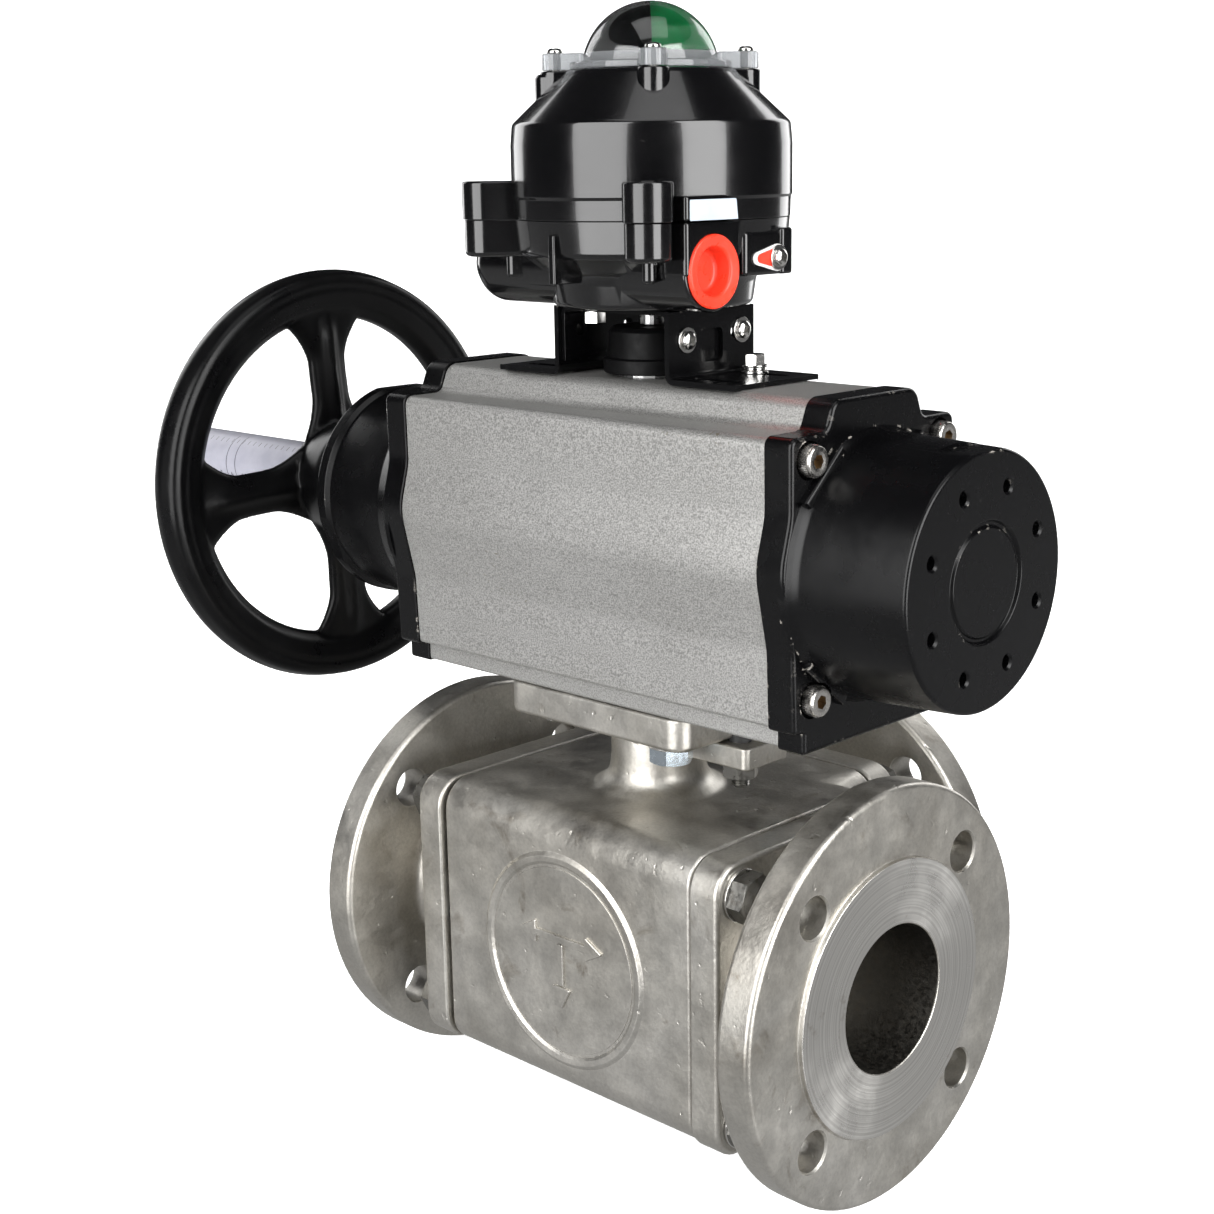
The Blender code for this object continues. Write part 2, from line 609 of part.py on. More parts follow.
def make_piston(name, turn):
    """The head fills the bore and its arm carries the rack past the pinion."""
    frame = new_empty(name + "_axis", ACTUATOR, rotation=(0, 0, turn))
    back = 37.5 * MM
    outline = [(x, -y) for x, y in rack_outline(-PISTON_IN - 2 * MM, 8 * MM, back)]
    piston = prism(name, outline, -RACK_HALF, RACK_HALF, "piston_metal", frame)
    face = (QUARTER, 0, -QUARTER)
    crown = PISTON_BORE_R - 0.3 * MM
    groove_low = PISTON_IN + 7 * MM
    groove_high = PISTON_IN + 12 * MM
    head = [(0, PISTON_OUT), (crown, PISTON_OUT), (crown, groove_high), (crown - 4 * MM, groove_high),
            (crown - 4 * MM, groove_low), (crown, groove_low), (crown, PISTON_IN), (0, PISTON_IN)]
    join(piston, turned(name + "_head", head, None, frame, rotation=face))
    if turn == 0:
        cut(piston, cylinder("spindle_pocket", SPINDLE_R + 3 * MM, PISTON_OUT - 6 * MM, PISTON_OUT + 1 * MM,
                             None, frame, rotation=face))
    tube(name + "_seal", crown - 3.7 * MM, crown - 0.1 * MM, groove_low + GAP, groove_high - GAP, "seal",
         parent=frame, rotation=face)


# ---------------------------------------------------------------- handwheel

def make_handwheel():
    wheel = new_empty("handwheel_axis", ACTUATOR, rotation=(0, -QUARTER, 0))
    at = -WHEEL_X
    rim = [(WHEEL_R, at + 4 * MM), (WHEEL_R, at - 4 * MM), (WHEEL_R - 5 * MM, at - WHEEL_HALF),
           (WHEEL_R - 13 * MM, at - WHEEL_HALF + 1 * MM), (WHEEL_IN_R, at - 3 * MM),
           (WHEEL_IN_R, at + 3 * MM),
           (WHEEL_R - 13 * MM, at + WHEEL_HALF - 1 * MM), (WHEEL_R - 5 * MM, at + WHEEL_HALF)]
    part = turned("handwheel", rim, "black_casting", wheel, ring=True, sides=36)
    hub = [(HUB_OUT_R - 7 * MM, at + 5 * MM), (HUB_OUT_R, at - 8 * MM), (HUB_OUT_R + 4 * MM, at - 25 * MM),
           (HUB_OUT_R + 4 * MM, at - 40 * MM), (SLEEVE_R + 0.8 * MM, at - 40 * MM),
           (SLEEVE_R + 0.8 * MM, at + 5 * MM)]
    join(part, turned("wheel_hub", hub, None, wheel, ring=True, sides=24))
    half = [(18, 13), (40, 10.5), (66, 11), (88, 19)]
    outline = [(x * MM, -y * MM) for x, y in half] + [(x * MM, y * MM) for x, y in reversed(half)]
    for index in range(4):
        turn = (0, 0, SPOKE_TURN + index * QUARTER)
        join(part, prism("spoke_" + str(index), outline, at - 4.5 * MM, at + 4.5 * MM, None, wheel,
                         (0, 0, 0), turn))
    tube("override_nut", SLEEVE_R + 0.8 * MM, 21.5 * MM, CAP_END_LEFT - 12 * MM, at - 40.3 * MM,
         "gear_steel", parent=wheel)
    tube("scale_tube", TUBE_R - 3 * MM, TUBE_R, 166 * MM, -TUBE_END, "black_plastic", parent=wheel)
    tube("scale_sleeve", TUBE_R + GAP, SLEEVE_R, 232 * MM, 352 * MM, "white_scale", parent=wheel)
    spindle = [(0, 240 * MM), (SPINDLE_R, 240 * MM), (SPINDLE_R, 108 * MM), (SPINDLE_R + 2 * MM, 107 * MM),
               (SPINDLE_R + 2 * MM, PISTON_OUT - 6 * MM + GAP), (0, PISTON_OUT - 6 * MM + GAP)]
    turned("spindle", spindle, "gear_steel", wheel, sides=20)


# ---------------------------------------------------------------- bracket and switch box

def make_bracket_foot(name, turn):
    """Z-shaped sheet: a slotted foot, and an upright with round top corners."""
    frame = new_empty(name + "_frame", ROOT, (0, 0, TOP_Z + GAP), (0, 0, turn))
    foot = box(name, (UPRIGHT_X, -UPRIGHT_HALF - 2 * MM, 0), (70 * MM, UPRIGHT_HALF + 2 * MM, SHEET),
               "black_sheet", frame)
    high = 30 * MM
    upright = rounded_outline([(-UPRIGHT_HALF, 0.5 * MM, 0), (UPRIGHT_HALF, 0.5 * MM, 0),
                               (UPRIGHT_HALF, high, 6 * MM), (-UPRIGHT_HALF, high, 6 * MM)])
    join(foot, prism(name + "_upright", upright, UPRIGHT_X, UPRIGHT_X + SHEET, None, frame,
                     rotation=(QUARTER, 0, QUARTER)))
    for y in (-15 * MM, 15 * MM):
        slot = rounded_outline([(37 * MM, y - 2.8 * MM, 2.7 * MM), (63 * MM, y - 2.8 * MM, 2.7 * MM),
                                (63 * MM, y + 2.8 * MM, 2.7 * MM), (37 * MM, y + 2.8 * MM, 2.7 * MM)])
        cut(foot, prism(name + "_slot" + str(y > 0), slot, -1 * MM, SHEET + 1 * MM, None, frame))
        cut(foot, cylinder(name + "_hole" + str(y > 0), 2.8 * MM, UPRIGHT_X - 1 * MM, UPRIGHT_X + 4 * MM,
                           None, frame, (0, y, 19 * MM), (0, QUARTER, 0), sides=HOLE_SIDES))


def make_bracket():
    make_bracket_foot("bracket_foot_right", 0)
    make_bracket_foot("bracket_foot_left", math.pi)
    top = BOX_Z - GAP
    inner = UPRIGHT_X - GAP
    platform = box("bracket_platform", (-inner, -UPRIGHT_HALF, top - SHEET), (inner, UPRIGHT_HALF, top),
                   "black_sheet")
    for name, near, far in (("right_flap", inner - SHEET, inner), ("left_flap", -inner, SHEET - inner)):
        join(platform, box(name, (near, -UPRIGHT_HALF, top - 24 * MM), (far, UPRIGHT_HALF, top - 1 * MM)))
    for y in (-15 * MM, 15 * MM):
        cut(platform, cylinder("flap_hole" + str(y > 0), 2.8 * MM, -40 * MM, 40 * MM, None, ROOT,
                               (0, y, TOP_Z + GAP + 19 * MM), (0, QUARTER, 0), sides=HOLE_SIDES))
    cut(platform, cylinder("shaft_way", 12 * MM, top - 10 * MM, top + 5 * MM))
    knob = [(0, TOP_Z + 22 * MM), (18 * MM, TOP_Z + 22 * MM), (20 * MM, TOP_Z + 20 * MM),
            (20 * MM, TOP_Z + 8 * MM), (22 * MM, TOP_Z + 7 * MM), (22 * MM, TOP_Z + 1.5 * MM),
            (8.3 * MM, TOP_Z + 1.5 * MM), (8.3 * MM, TOP_Z + 14.5 * MM), (0, TOP_Z + 14.5 * MM)]
    turned("coupler", knob, "black_plastic", ROOT)


def lobed_outline(radius, lug_at, lug_r, angles):
    """A circle with a round-ended lug at each of the rising angles."""
    outline = []
    root = math.asin(lug_r / radius)
    for angle, following in zip(angles, angles[1:] + [angles[0] + 2 * math.pi]):
        for step in range(LOBE_STEPS + 1):
            turn = -QUARTER + math.pi * step / LOBE_STEPS
            x = lug_at + lug_r * math.cos(turn)
            y = lug_r * math.sin(turn)
            outline.append(around(math.hypot(x, y), angle + math.atan2(y, x)))
        sweep = following - angle - 2 * root
        count = round(sweep / ARC_STEP)
        for step in range(count + 1):
            outline.append(around(radius, angle + root + sweep * step / count))
    return outline


def make_housing():
    inner = BOX_R - 6 * MM
    rim = PARTING - GAP
    outline = lobed_outline(BOX_R - 1 * MM, LUG_AT, LUG_R, BOX_LUGS)
    housing = prism("box_housing", outline, LUG_LOW, rim, "black_casting")
    join(housing, cylinder("box_base", 44 * MM, BOX_Z, LUG_LOW + 1 * MM))
    axis = (0, BARREL_Y, BARREL_Z)
    along = (0, QUARTER, 0)
    barrel = [(0, BARREL_RIGHT), (BARREL_R, BARREL_RIGHT), (BARREL_R, BARREL_LEFT + 7 * MM),
              (BARREL_R - 7 * MM, BARREL_LEFT), (0, BARREL_LEFT)]
    join(housing, turned("conduit_barrel", barrel, None, ROOT, axis, along))
    join(housing, box("conduit_boss", (30 * MM, BARREL_Y - 0.95 * BARREL_R, BARREL_Z + 2 * MM),
                      (BARREL_RIGHT - 0.5 * MM, BARREL_Y + 0.95 * BARREL_R, rim - 0.5 * MM)))
    cut(housing, cylinder("box_hollow", inner, LUG_LOW + 4 * MM, PARTING + 1 * MM))
    cut(housing, cylinder("base_hollow", 37 * MM, BOX_Z + 5 * MM, LUG_LOW + 5 * MM))
    cut(housing, cylinder("box_shaft_way", 6.6 * MM, BOX_Z - 1 * MM, BOX_Z + 6 * MM))
    cut(housing, cylinder("conduit_bore", 12 * MM, 10 * MM, BARREL_RIGHT + 1 * MM, None, ROOT, axis, along))
    mouth = BARREL_RIGHT + GAP
    plug = [(0, mouth - 10 * MM), (9 * MM, mouth - 10 * MM), (9.5 * MM, mouth + 2.5 * MM),
            (15 * MM, mouth + 2.5 * MM), (15 * MM, mouth), (11.5 * MM, mouth), (11.5 * MM, mouth - 14 * MM),
            (0, mouth - 14 * MM)]
    turned("conduit_plug", plug, "red_plastic", ROOT, axis, along)


def make_cover():
    top_r = 38 * MM
    wall = 5 * MM
    outer = [(0, COVER_TOP), (top_r - 2 * MM, COVER_TOP), (top_r, COVER_TOP - 1.5 * MM), (BOX_R, SHOULDER),
             (BOX_R, SKIRT_TOP), (BOX_R - 1 * MM, SKIRT_TOP - 1 * MM), (BOX_R - 1 * MM, PARTING),
             (0, PARTING)]
    hollow = [(0, COVER_TOP + 1 * MM), (28 * MM, COVER_TOP + 1 * MM), (28 * MM, COVER_TOP - 5 * MM),
              (33 * MM, COVER_TOP - 5 * MM), (top_r - 3 * MM, COVER_TOP - 9 * MM),
              (BOX_R - wall, SHOULDER - 2 * MM), (BOX_R - wall, PARTING - 1 * MM), (0, PARTING - 1 * MM)]
    cover = turned("box_cover", outer, "black_casting", sides=RIM_SIDES)
    ears = lobed_outline(BOX_R - 3 * MM, LUG_AT, LUG_R, BOX_LUGS)
    join(cover, prism("cover_lugs", ears, PARTING + 0.5 * MM, LUG_TOP))
    bosses = lobed_outline(36 * MM, BOSS_AT, 6.5 * MM, DIAGONALS)
    join(cover, prism("dome_bosses", bosses, COVER_TOP - 7 * MM, COVER_TOP + 0.2 * MM))
    cut(cover, turned("cover_hollow", hollow))


def arc_profile(radius, centre, steps, end=0.0):
    angles = [math.pi / 2 - (math.pi / 2 - end) * step / steps for step in range(steps + 1)]
    return [(radius * math.cos(angle), centre + radius * math.sin(angle)) for angle in angles]


def make_dome():
    low = COVER_TOP + 0.2 * MM + GAP
    outer = arc_profile(DOME_R, DOME_Z, 6, math.radians(8))
    inner = arc_profile(DOME_R - 2 * MM, DOME_Z, 6, math.radians(5))
    outer[0] = (0, DOME_Z + DOME_R)
    inner[0] = (0, DOME_Z + DOME_R - 2 * MM)
    profile = outer + [(34 * MM, low + 3.5 * MM), (34 * MM, low + 0.5 * MM),
                       (DOME_R - 2 * MM, low + 0.5 * MM)]
    dome = turned("dome", profile + list(reversed(inner)), "clear")
    skirt = prism("dome_skirt", lobed_outline(36 * MM, BOSS_AT, 6 * MM, DIAGONALS), low, low + 4 * MM)
    cut(skirt, cylinder("skirt_way", 30 * MM, low - 1 * MM, low + 5 * MM))
    join(dome, skirt)


def make_indicator_train():
    drum = arc_profile(DOME_R - 4 * MM, DOME_Z, 6)
    drum[0] = (0, DOME_Z + DOME_R - 4 * MM)
    turned("indicator", drum + [(0, DOME_Z)], "indicator_green")
    cylinder("switch_shaft", 6 * MM, TOP_Z + 22 * MM + GAP, DOME_Z - GAP, "gear_steel", sides=20)
    for name, low, turn in (("cam_lower", 332 * MM, 0), ("cam_upper", 344 * MM, QUARTER)):
        lobe = [around(13 * MM + (3 * MM if step < 8 else 0), 2 * math.pi * step / 24) for step in range(24)]
        cam = prism(name, lobe, low, low + 8 * MM, "ptfe", ROOT, (0, 0, 0), (0, 0, turn))
        cut(cam, cylinder(name + "_bore", 6.3 * MM, low - 1 * MM, low + 9 * MM, sides=20))


def make_switches():
    floor = LUG_LOW + 4 * MM + GAP
    for name, side in (("switch_lower", -1), ("switch_upper", 1)):
        box(name, (18 * MM, side * 14 * MM - 8 * MM, floor), (38 * MM, side * 14 * MM + 8 * MM, 352 * MM),
            "switch_body")
    box("terminal_strip", (-47 * MM, -22 * MM, floor), (-38 * MM, 22 * MM, 338 * MM), "switch_body")


def build():
    make_valve_body()
    for side, face in (("right", FACE_X), ("left", FACE_X), ("rear", FACE_REAR)):
        make_end_connector(side, face)
        make_end_trim(side)
    make_pad_bolts()
    make_ball_and_stem()
    make_actuator_body()
    make_end_caps()
    make_pinion()
    make_piston("piston_left", 0)
    make_piston("piston_right", math.pi)
    make_handwheel()
    make_bracket()
    make_housing()
    make_cover()
    make_dome()
    make_indicator_train()
    make_switches()


build()
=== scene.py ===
"""Looks of the three-way ball valve with its rack-and-pinion actuator and limit-switch box."""
import math

import bmesh
import bpy
from mathutils import Matrix, Vector


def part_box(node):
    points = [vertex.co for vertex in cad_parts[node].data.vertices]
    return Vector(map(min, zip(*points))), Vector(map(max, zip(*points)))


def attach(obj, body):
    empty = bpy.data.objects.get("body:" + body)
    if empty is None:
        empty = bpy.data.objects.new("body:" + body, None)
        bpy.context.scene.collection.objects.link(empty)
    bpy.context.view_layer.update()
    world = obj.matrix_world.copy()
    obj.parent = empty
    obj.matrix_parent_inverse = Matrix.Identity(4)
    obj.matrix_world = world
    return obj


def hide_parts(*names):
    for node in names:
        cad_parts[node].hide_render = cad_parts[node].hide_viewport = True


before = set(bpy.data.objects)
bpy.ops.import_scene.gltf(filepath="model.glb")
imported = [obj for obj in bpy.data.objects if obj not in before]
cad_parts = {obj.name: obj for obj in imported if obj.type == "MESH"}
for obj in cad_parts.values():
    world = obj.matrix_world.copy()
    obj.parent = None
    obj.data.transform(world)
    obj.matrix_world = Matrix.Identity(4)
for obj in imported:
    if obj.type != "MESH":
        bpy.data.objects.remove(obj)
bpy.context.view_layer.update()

# Everything below is in millimetres from the crossing of the stem and the ports' axes.
MM = 0.001
stem_low, stem_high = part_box("stem")
port_low, port_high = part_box("end_connector_right")
CROSSING = Vector(((stem_low.x + stem_high.x) / 2, (stem_low.y + stem_high.y) / 2,
                   (port_low.z + port_high.z) / 2))
ROOT = "valve_and_housings"
TRAIN = "drive_train"
ACT_Z = 185.5
UP = (0, 0, 1)
TURN = 2 * math.pi
DIAGONALS = [math.radians(45 + 90 * step) for step in range(4)]
BOX_LUGS = [math.radians(turn) for turn in (-135, -48, 95)]
PARTING = 321.5
COVER_TOP = 382.0
DOME_CENTRE = 381.0
DOME_SCREWS_AT = 40.3
BRACKET_SCREWS_UP = 273.5


# ---------------------------------------------------------------- places

def place(z_axis=UP, y_axis=(0, 1, 0), at=(0, 0, 0)):
    """Local millimetres to the shared frame, with the local Z and Y along the given directions."""
    z = Vector(z_axis)
    y = Vector(y_axis)
    turn = Matrix((y.cross(z), y, z)).transposed().to_4x4()
    return Matrix.Translation(CROSSING) @ Matrix.Scale(MM, 4) @ Matrix.Translation(at) @ turn


HERE = place()
PORTS = {"right": place((1, 0, 0), UP), "left": place((-1, 0, 0), UP), "rear": place((0, 1, 0), UP)}
FRONT = place((0, -1, 0), UP)
ENDS = {"right": place((1, 0, 0), UP, (0, 0, ACT_Z)), "left": place((-1, 0, 0), UP, (0, 0, ACT_Z))}


def moved(where, at=(0, 0, 0), about_z=0.0):
    return where @ Matrix.Translation(at) @ Matrix.Rotation(about_z, 4, "Z")


def polar(radius, angle):
    return (radius * math.cos(angle), radius * math.sin(angle))


# ---------------------------------------------------------------- mesh helpers

def fillet(points, steps=5, closed=True):
    """Rounds each (x, y, radius) corner of a 2-D line; a corner with no radius stays sharp."""
    line = []
    count = len(points)
    for index, (x, y, *rest) in enumerate(points):
        radius = rest[0] if rest else 0
        end = not closed and index in (0, count - 1)
        here = Vector((x, y))
        if radius == 0 or end:
            line.append((x, y))
            continue
        back = Vector(points[index - 1][:2]) - here
        ahead = Vector(points[(index + 1) % count][:2]) - here
        half = back.angle(ahead) / 2
        reach = min(radius / math.tan(half), 0.49 * back.length, 0.49 * ahead.length)
        start = here + back.normalized() * reach
        stop = here + ahead.normalized() * reach
        centre = here + (back.normalized() + ahead.normalized()).normalized() * reach / math.cos(half)
        a, b = start - centre, stop - centre
        sweep = a.angle_signed(b)
        for step in range(steps + 1):
            turned = a.copy()
            turned.rotate(Matrix.Rotation(-sweep * step / steps, 2))
            line.append(tuple(centre + turned))
    return line


def rectangle(half_x, half_y, radius, steps=8):
    corners = [(half_x, -half_y), (half_x, half_y), (-half_x, half_y), (-half_x, -half_y)]
    return fillet([(x, y, radius) for x, y in corners], steps)


def capsule(near, far, radius, angle, steps=14, tip=None):
    """A round-ended bar from near to far along a direction; tip is the far end's own radius."""
    tip = tip or radius
    line = []
    for at, size, first in ((far, tip, -0.5), (near, radius, 0.5)):
        for step in range(steps + 1):
            turn = math.pi * (first + step / steps)
            line.append((at + size * math.cos(turn), size * math.sin(turn)))
    c, s = math.cos(angle), math.sin(angle)
    return [(x * c - y * s, x * s + y * c) for x, y in line]


def inset(line, depth):
    """The closed line moved inward; the line runs anticlockwise."""
    result = []
    for index, point in enumerate(line):
        before = Vector(point) - Vector(line[index - 1])
        after = Vector(line[(index + 1) % len(line)]) - Vector(point)
        n1 = Vector((-before.y, before.x)).normalized()
        n2 = Vector((-after.y, after.x)).normalized()
        middle = n1 + n2
        middle = middle / max(middle.length_squared / 2, 0.3)
        result.append((point[0] + middle.x * depth, point[1] + middle.y * depth))
    return result


def loft(name, rings, where, loop=False, caps=True):
    """Skins rings of points into one closed mesh object with its faces outward."""
    bm = bmesh.new()
    rows = [[bm.verts.new(point) for point in ring] for ring in rings]
    pairs = list(zip(rows, rows[1:]))
    if loop:
        pairs.append((rows[-1], rows[0]))
    size = len(rows[0])
    for low, high in pairs:
        for index in range(size):
            after = (index + 1) % size
            bm.faces.new((low[index], low[after], high[after], high[index]))
    if caps and not loop:
        bm.faces.new(list(reversed(rows[0])))
        bm.faces.new(rows[-1])
    bmesh.ops.remove_doubles(bm, verts=bm.verts, dist=1e-4)
    bmesh.ops.dissolve_degenerate(bm, edges=bm.edges, dist=1e-5)
    bmesh.ops.recalc_face_normals(bm, faces=bm.faces)
    if bm.calc_volume(signed=True) < 0:
        bmesh.ops.reverse_faces(bm, faces=bm.faces)
    bm.transform(where)
    mesh = bpy.data.meshes.new(name)
    bm.to_mesh(mesh)
    bm.free()
    obj = bpy.data.objects.new(name, mesh)
    bpy.context.scene.collection.objects.link(obj)
    return obj


def lathe(name, profile, where, sides=96, loop=False, start=0.0, steps=5):
    """Turns a (radius, height, rounding) line about the local Z axis; its ends sit on the axis."""
    line = fillet(profile, steps, loop)
    rings = []
    for radius, height in line:
        ring = [(*polar(radius, start + TURN * index / sides), height) for index in range(sides)]
        rings.append(ring)
    return loft(name, rings, where, loop, caps=False)


def slab(name, outline, low, high, where, edge_low=0.6, edge_high=None, steps=3):
    """An outline raised from low to high with rounded rims."""
    edge_high = edge_low if edge_high is None else edge_high
    rings = []
    for base, edge, side in ((low, edge_low, 1), (high, edge_high, -1)):
        part = []
        for step in range(steps + 1):
            angle = math.pi / 2 * step / steps
            depth = edge * (1 - math.sin(angle))
            rise = edge * (1 - math.cos(angle))
            part.append([(x, y, base + side * rise) for x, y in (inset(outline, depth) if edge else outline)])
            if not edge:
                break
        rings += part if side == 1 else list(reversed(part))
    return loft(name, rings, where)


def block(name, low, high, where, radius=1.0):
    middle = [(a + b) / 2 for a, b in zip(low, high)]
    outline = rectangle((high[0] - low[0]) / 2, (high[1] - low[1]) / 2, radius, 4)
    outline = [(x + middle[0], y + middle[1]) for x, y in outline]
    return slab(name, outline, low[2], high[2], where, radius * 0.7)


def bake(obj):
    """Applies the object's modifiers."""
    graph = bpy.context.evaluated_depsgraph_get()
    mesh = bpy.data.meshes.new_from_object(obj.evaluated_get(graph))
    obj.modifiers.clear()
    obj.data = mesh
    return obj


def combine(obj, others, operation="UNION"):
    for other in others:
        step = obj.modifiers.new("step", "BOOLEAN")
        step.operation = operation
        step.solver = "EXACT"
        step.object = other
        bpy.context.view_layer.update()
        bake(obj)
        bpy.data.objects.remove(other, do_unlink=True)
    return obj


def cut(obj, *others):
    return combine(obj, others, "DIFFERENCE")


def rod(radius, low, high, where, sides=96):
    """A plain round cutter."""
    return lathe("rod", [(0, low), (radius, low), (radius, high), (0, high)], where, sides)


def hole(radius, low, high, where, at=(0, 0), chamfer=0.0, sides=48):
    """A cutter for a round hole whose mouth at high is chamfered."""
    profile = [(0, low), (radius, low), (radius, high - chamfer), (radius + chamfer, high),
               (radius + chamfer, high + 1), (0, high + 1)]
    return lathe("hole", profile, moved(where, (*at, 0)), sides)


def show(obj, material, body=ROOT, stands_for=(), angle=32, extra=()):
    """Gives the finish, smooths the shading, and sets the body that carries the piece."""
    mesh = obj.data
    mesh.materials.clear()
    mesh.materials.append(material)
    for other, test in extra:
        mesh.materials.append(other)
        index = len(mesh.materials) - 1
        for face in mesh.polygons:
            if test(face):
                face.material_index = index
    mesh.shade_smooth()
    mesh.set_sharp_from_angle(angle=math.radians(angle))
    weighted = obj.modifiers.new("normals", "WEIGHTED_NORMAL")
    weighted.keep_sharp = True
    weighted.weight = 100
    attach(obj, body)
    if stands_for:
        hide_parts(*([stands_for] if isinstance(stands_for, str) else stands_for))
    return obj


def local_test(where, test):
    """Makes a face test that works in a place's own millimetres: test(centre, normal)."""
    back = where.inverted()
    turn = back.to_3x3().normalized()

    def check(face):
        return test(back @ face.center, turn @ face.normal)
    return check


# ---------------------------------------------------------------- finishes

class Finish:
    """A Principled material with short names for the nodes that feed it."""

    def __init__(self, name, color, metallic, roughness, **sockets):
        self.material = bpy.data.materials.new(name)
        self.material.use_nodes = True
        self.tree = self.material.node_tree
        self.shader = self.tree.nodes["Principled BSDF"]
        self.set("Base Color", color)
        self.set("Metallic", metallic)
        self.set("Roughness", roughness)
        for socket, value in sockets.items():
            self.set(socket.replace("_", " "), value)
        self.where = self.node("ShaderNodeTexCoord").outputs["Object"]

    def node(self, kind, **inputs):
        made = self.tree.nodes.new(kind)
        for name, value in inputs.items():
            self.feed(made.inputs[name.replace("_", " ")], value)
        return made

    def feed(self, socket, value):
        if isinstance(value, bpy.types.NodeSocket):
            self.tree.links.new(value, socket)
        elif hasattr(value, "__len__") and len(value) == 3 and socket.type == "RGBA":
            socket.default_value = (*value, 1)
        else:
            socket.default_value = value

    def set(self, name, value):
        self.feed(self.shader.inputs[name], value)

    def stretched(self, x, y, z, at=(0, 0, 0)):
        made = self.node("ShaderNodeMapping", Vector=self.where)
        made.inputs["Scale"].default_value = (x, y, z)
        made.inputs["Location"].default_value = at
        return made.outputs[0]

    def noise(self, scale, detail=3.0, roughness=0.5, vector=None, distortion=0.0):
        made = self.node("ShaderNodeTexNoise", Vector=vector or self.where, Scale=scale, Detail=detail,
                         Roughness=roughness, Distortion=distortion)
        return made.outputs["Fac"]

    def ramp(self, value, *stops):
        made = self.node("ShaderNodeValToRGB", Fac=value)
        line = made.color_ramp.elements
        while len(line) < len(stops):
            line.new(0.5)
        for element, (position, shade) in zip(line, stops):
            element.position = position
            element.color = (*shade, 1) if hasattr(shade, "__len__") else (shade, shade, shade, 1)
        return made.outputs["Color"]

    def mix(self, share, a, b, kind="MIX"):
        made = self.tree.nodes.new("ShaderNodeMix")
        made.data_type = "RGBA"
        made.blend_type = kind
        self.feed(made.inputs[0], share)
        self.feed(made.inputs[6], a)
        self.feed(made.inputs[7], b)
        return made.outputs[2]

    def math(self, operation, a, b=0.0):
        made = self.tree.nodes.new("ShaderNodeMath")
        made.operation = operation
        self.feed(made.inputs[0], a)
        self.feed(made.inputs[1], b)
        return made.outputs[0]

    def bump(self, height, strength, distance_mm, under=None):
        made = self.node("ShaderNodeBump", Height=height, Strength=strength, Distance=distance_mm * MM)
        if under:
            self.feed(made.inputs["Normal"], under)
        self.set("Normal", made.outputs[0])
        return made.outputs[0]

    def edges(self, radius_mm, low=0.05, high=0.35):
        """High on convex and concave edges, from a rounded normal against the true one."""
        soft = self.node("ShaderNodeBevel", Radius=radius_mm * MM)
        soft.samples = 4
        true = self.node("ShaderNodeNewGeometry").outputs["Normal"]
        gap = self.tree.nodes.new("ShaderNodeVectorMath")
        gap.operation = "DISTANCE"
        self.feed(gap.inputs[0], soft.outputs[0])
        self.feed(gap.inputs[1], true)
        return self.ramp(gap.outputs["Value"], (low, 0.0), (high, 1.0))


def cast_steel(name="cast_stainless"):
    f = Finish(name, (0.4, 0.38, 0.34), 1.0, 0.42)
    broad = f.noise(11, 4, 0.6, distortion=0.6)
    shade = f.ramp(broad, (0.3, (0.46, 0.435, 0.39)), (0.5, (0.57, 0.55, 0.505)), (0.72, (0.66, 0.64, 0.60)))
    stain = f.ramp(f.noise(34, 5, 0.65, distortion=1.2), (0.6, 0.0), (0.74, 0.55))
    shade = f.mix(stain, shade, (0.20, 0.155, 0.105))
    grit = f.ramp(f.noise(650, 2, 0.6), (0.36, 0.80), (0.6, 1.0))
    shade = f.mix(0.55, shade, grit, "MULTIPLY")
    worn = f.edges(1.1, 0.1, 0.5)
    shade = f.mix(f.math("MULTIPLY", worn, 0.55), shade, (0.74, 0.72, 0.68))
    f.set("Base Color", shade)
    f.set("Roughness", f.ramp(f.noise(60, 4, 0.6), (0.3, 0.34), (0.7, 0.54)))
    skin = f.bump(f.noise(420, 3, 0.65), 0.22, 0.5)
    waves = f.bump(f.noise(70, 3, 0.5, distortion=0.5), 0.22, 1.6, skin)
    pits = f.ramp(f.noise(210, 2, 0.4), (0.22, 0.0), (0.30, 1.0))
    f.bump(pits, 0.5, 0.35, waves)
    return f.material


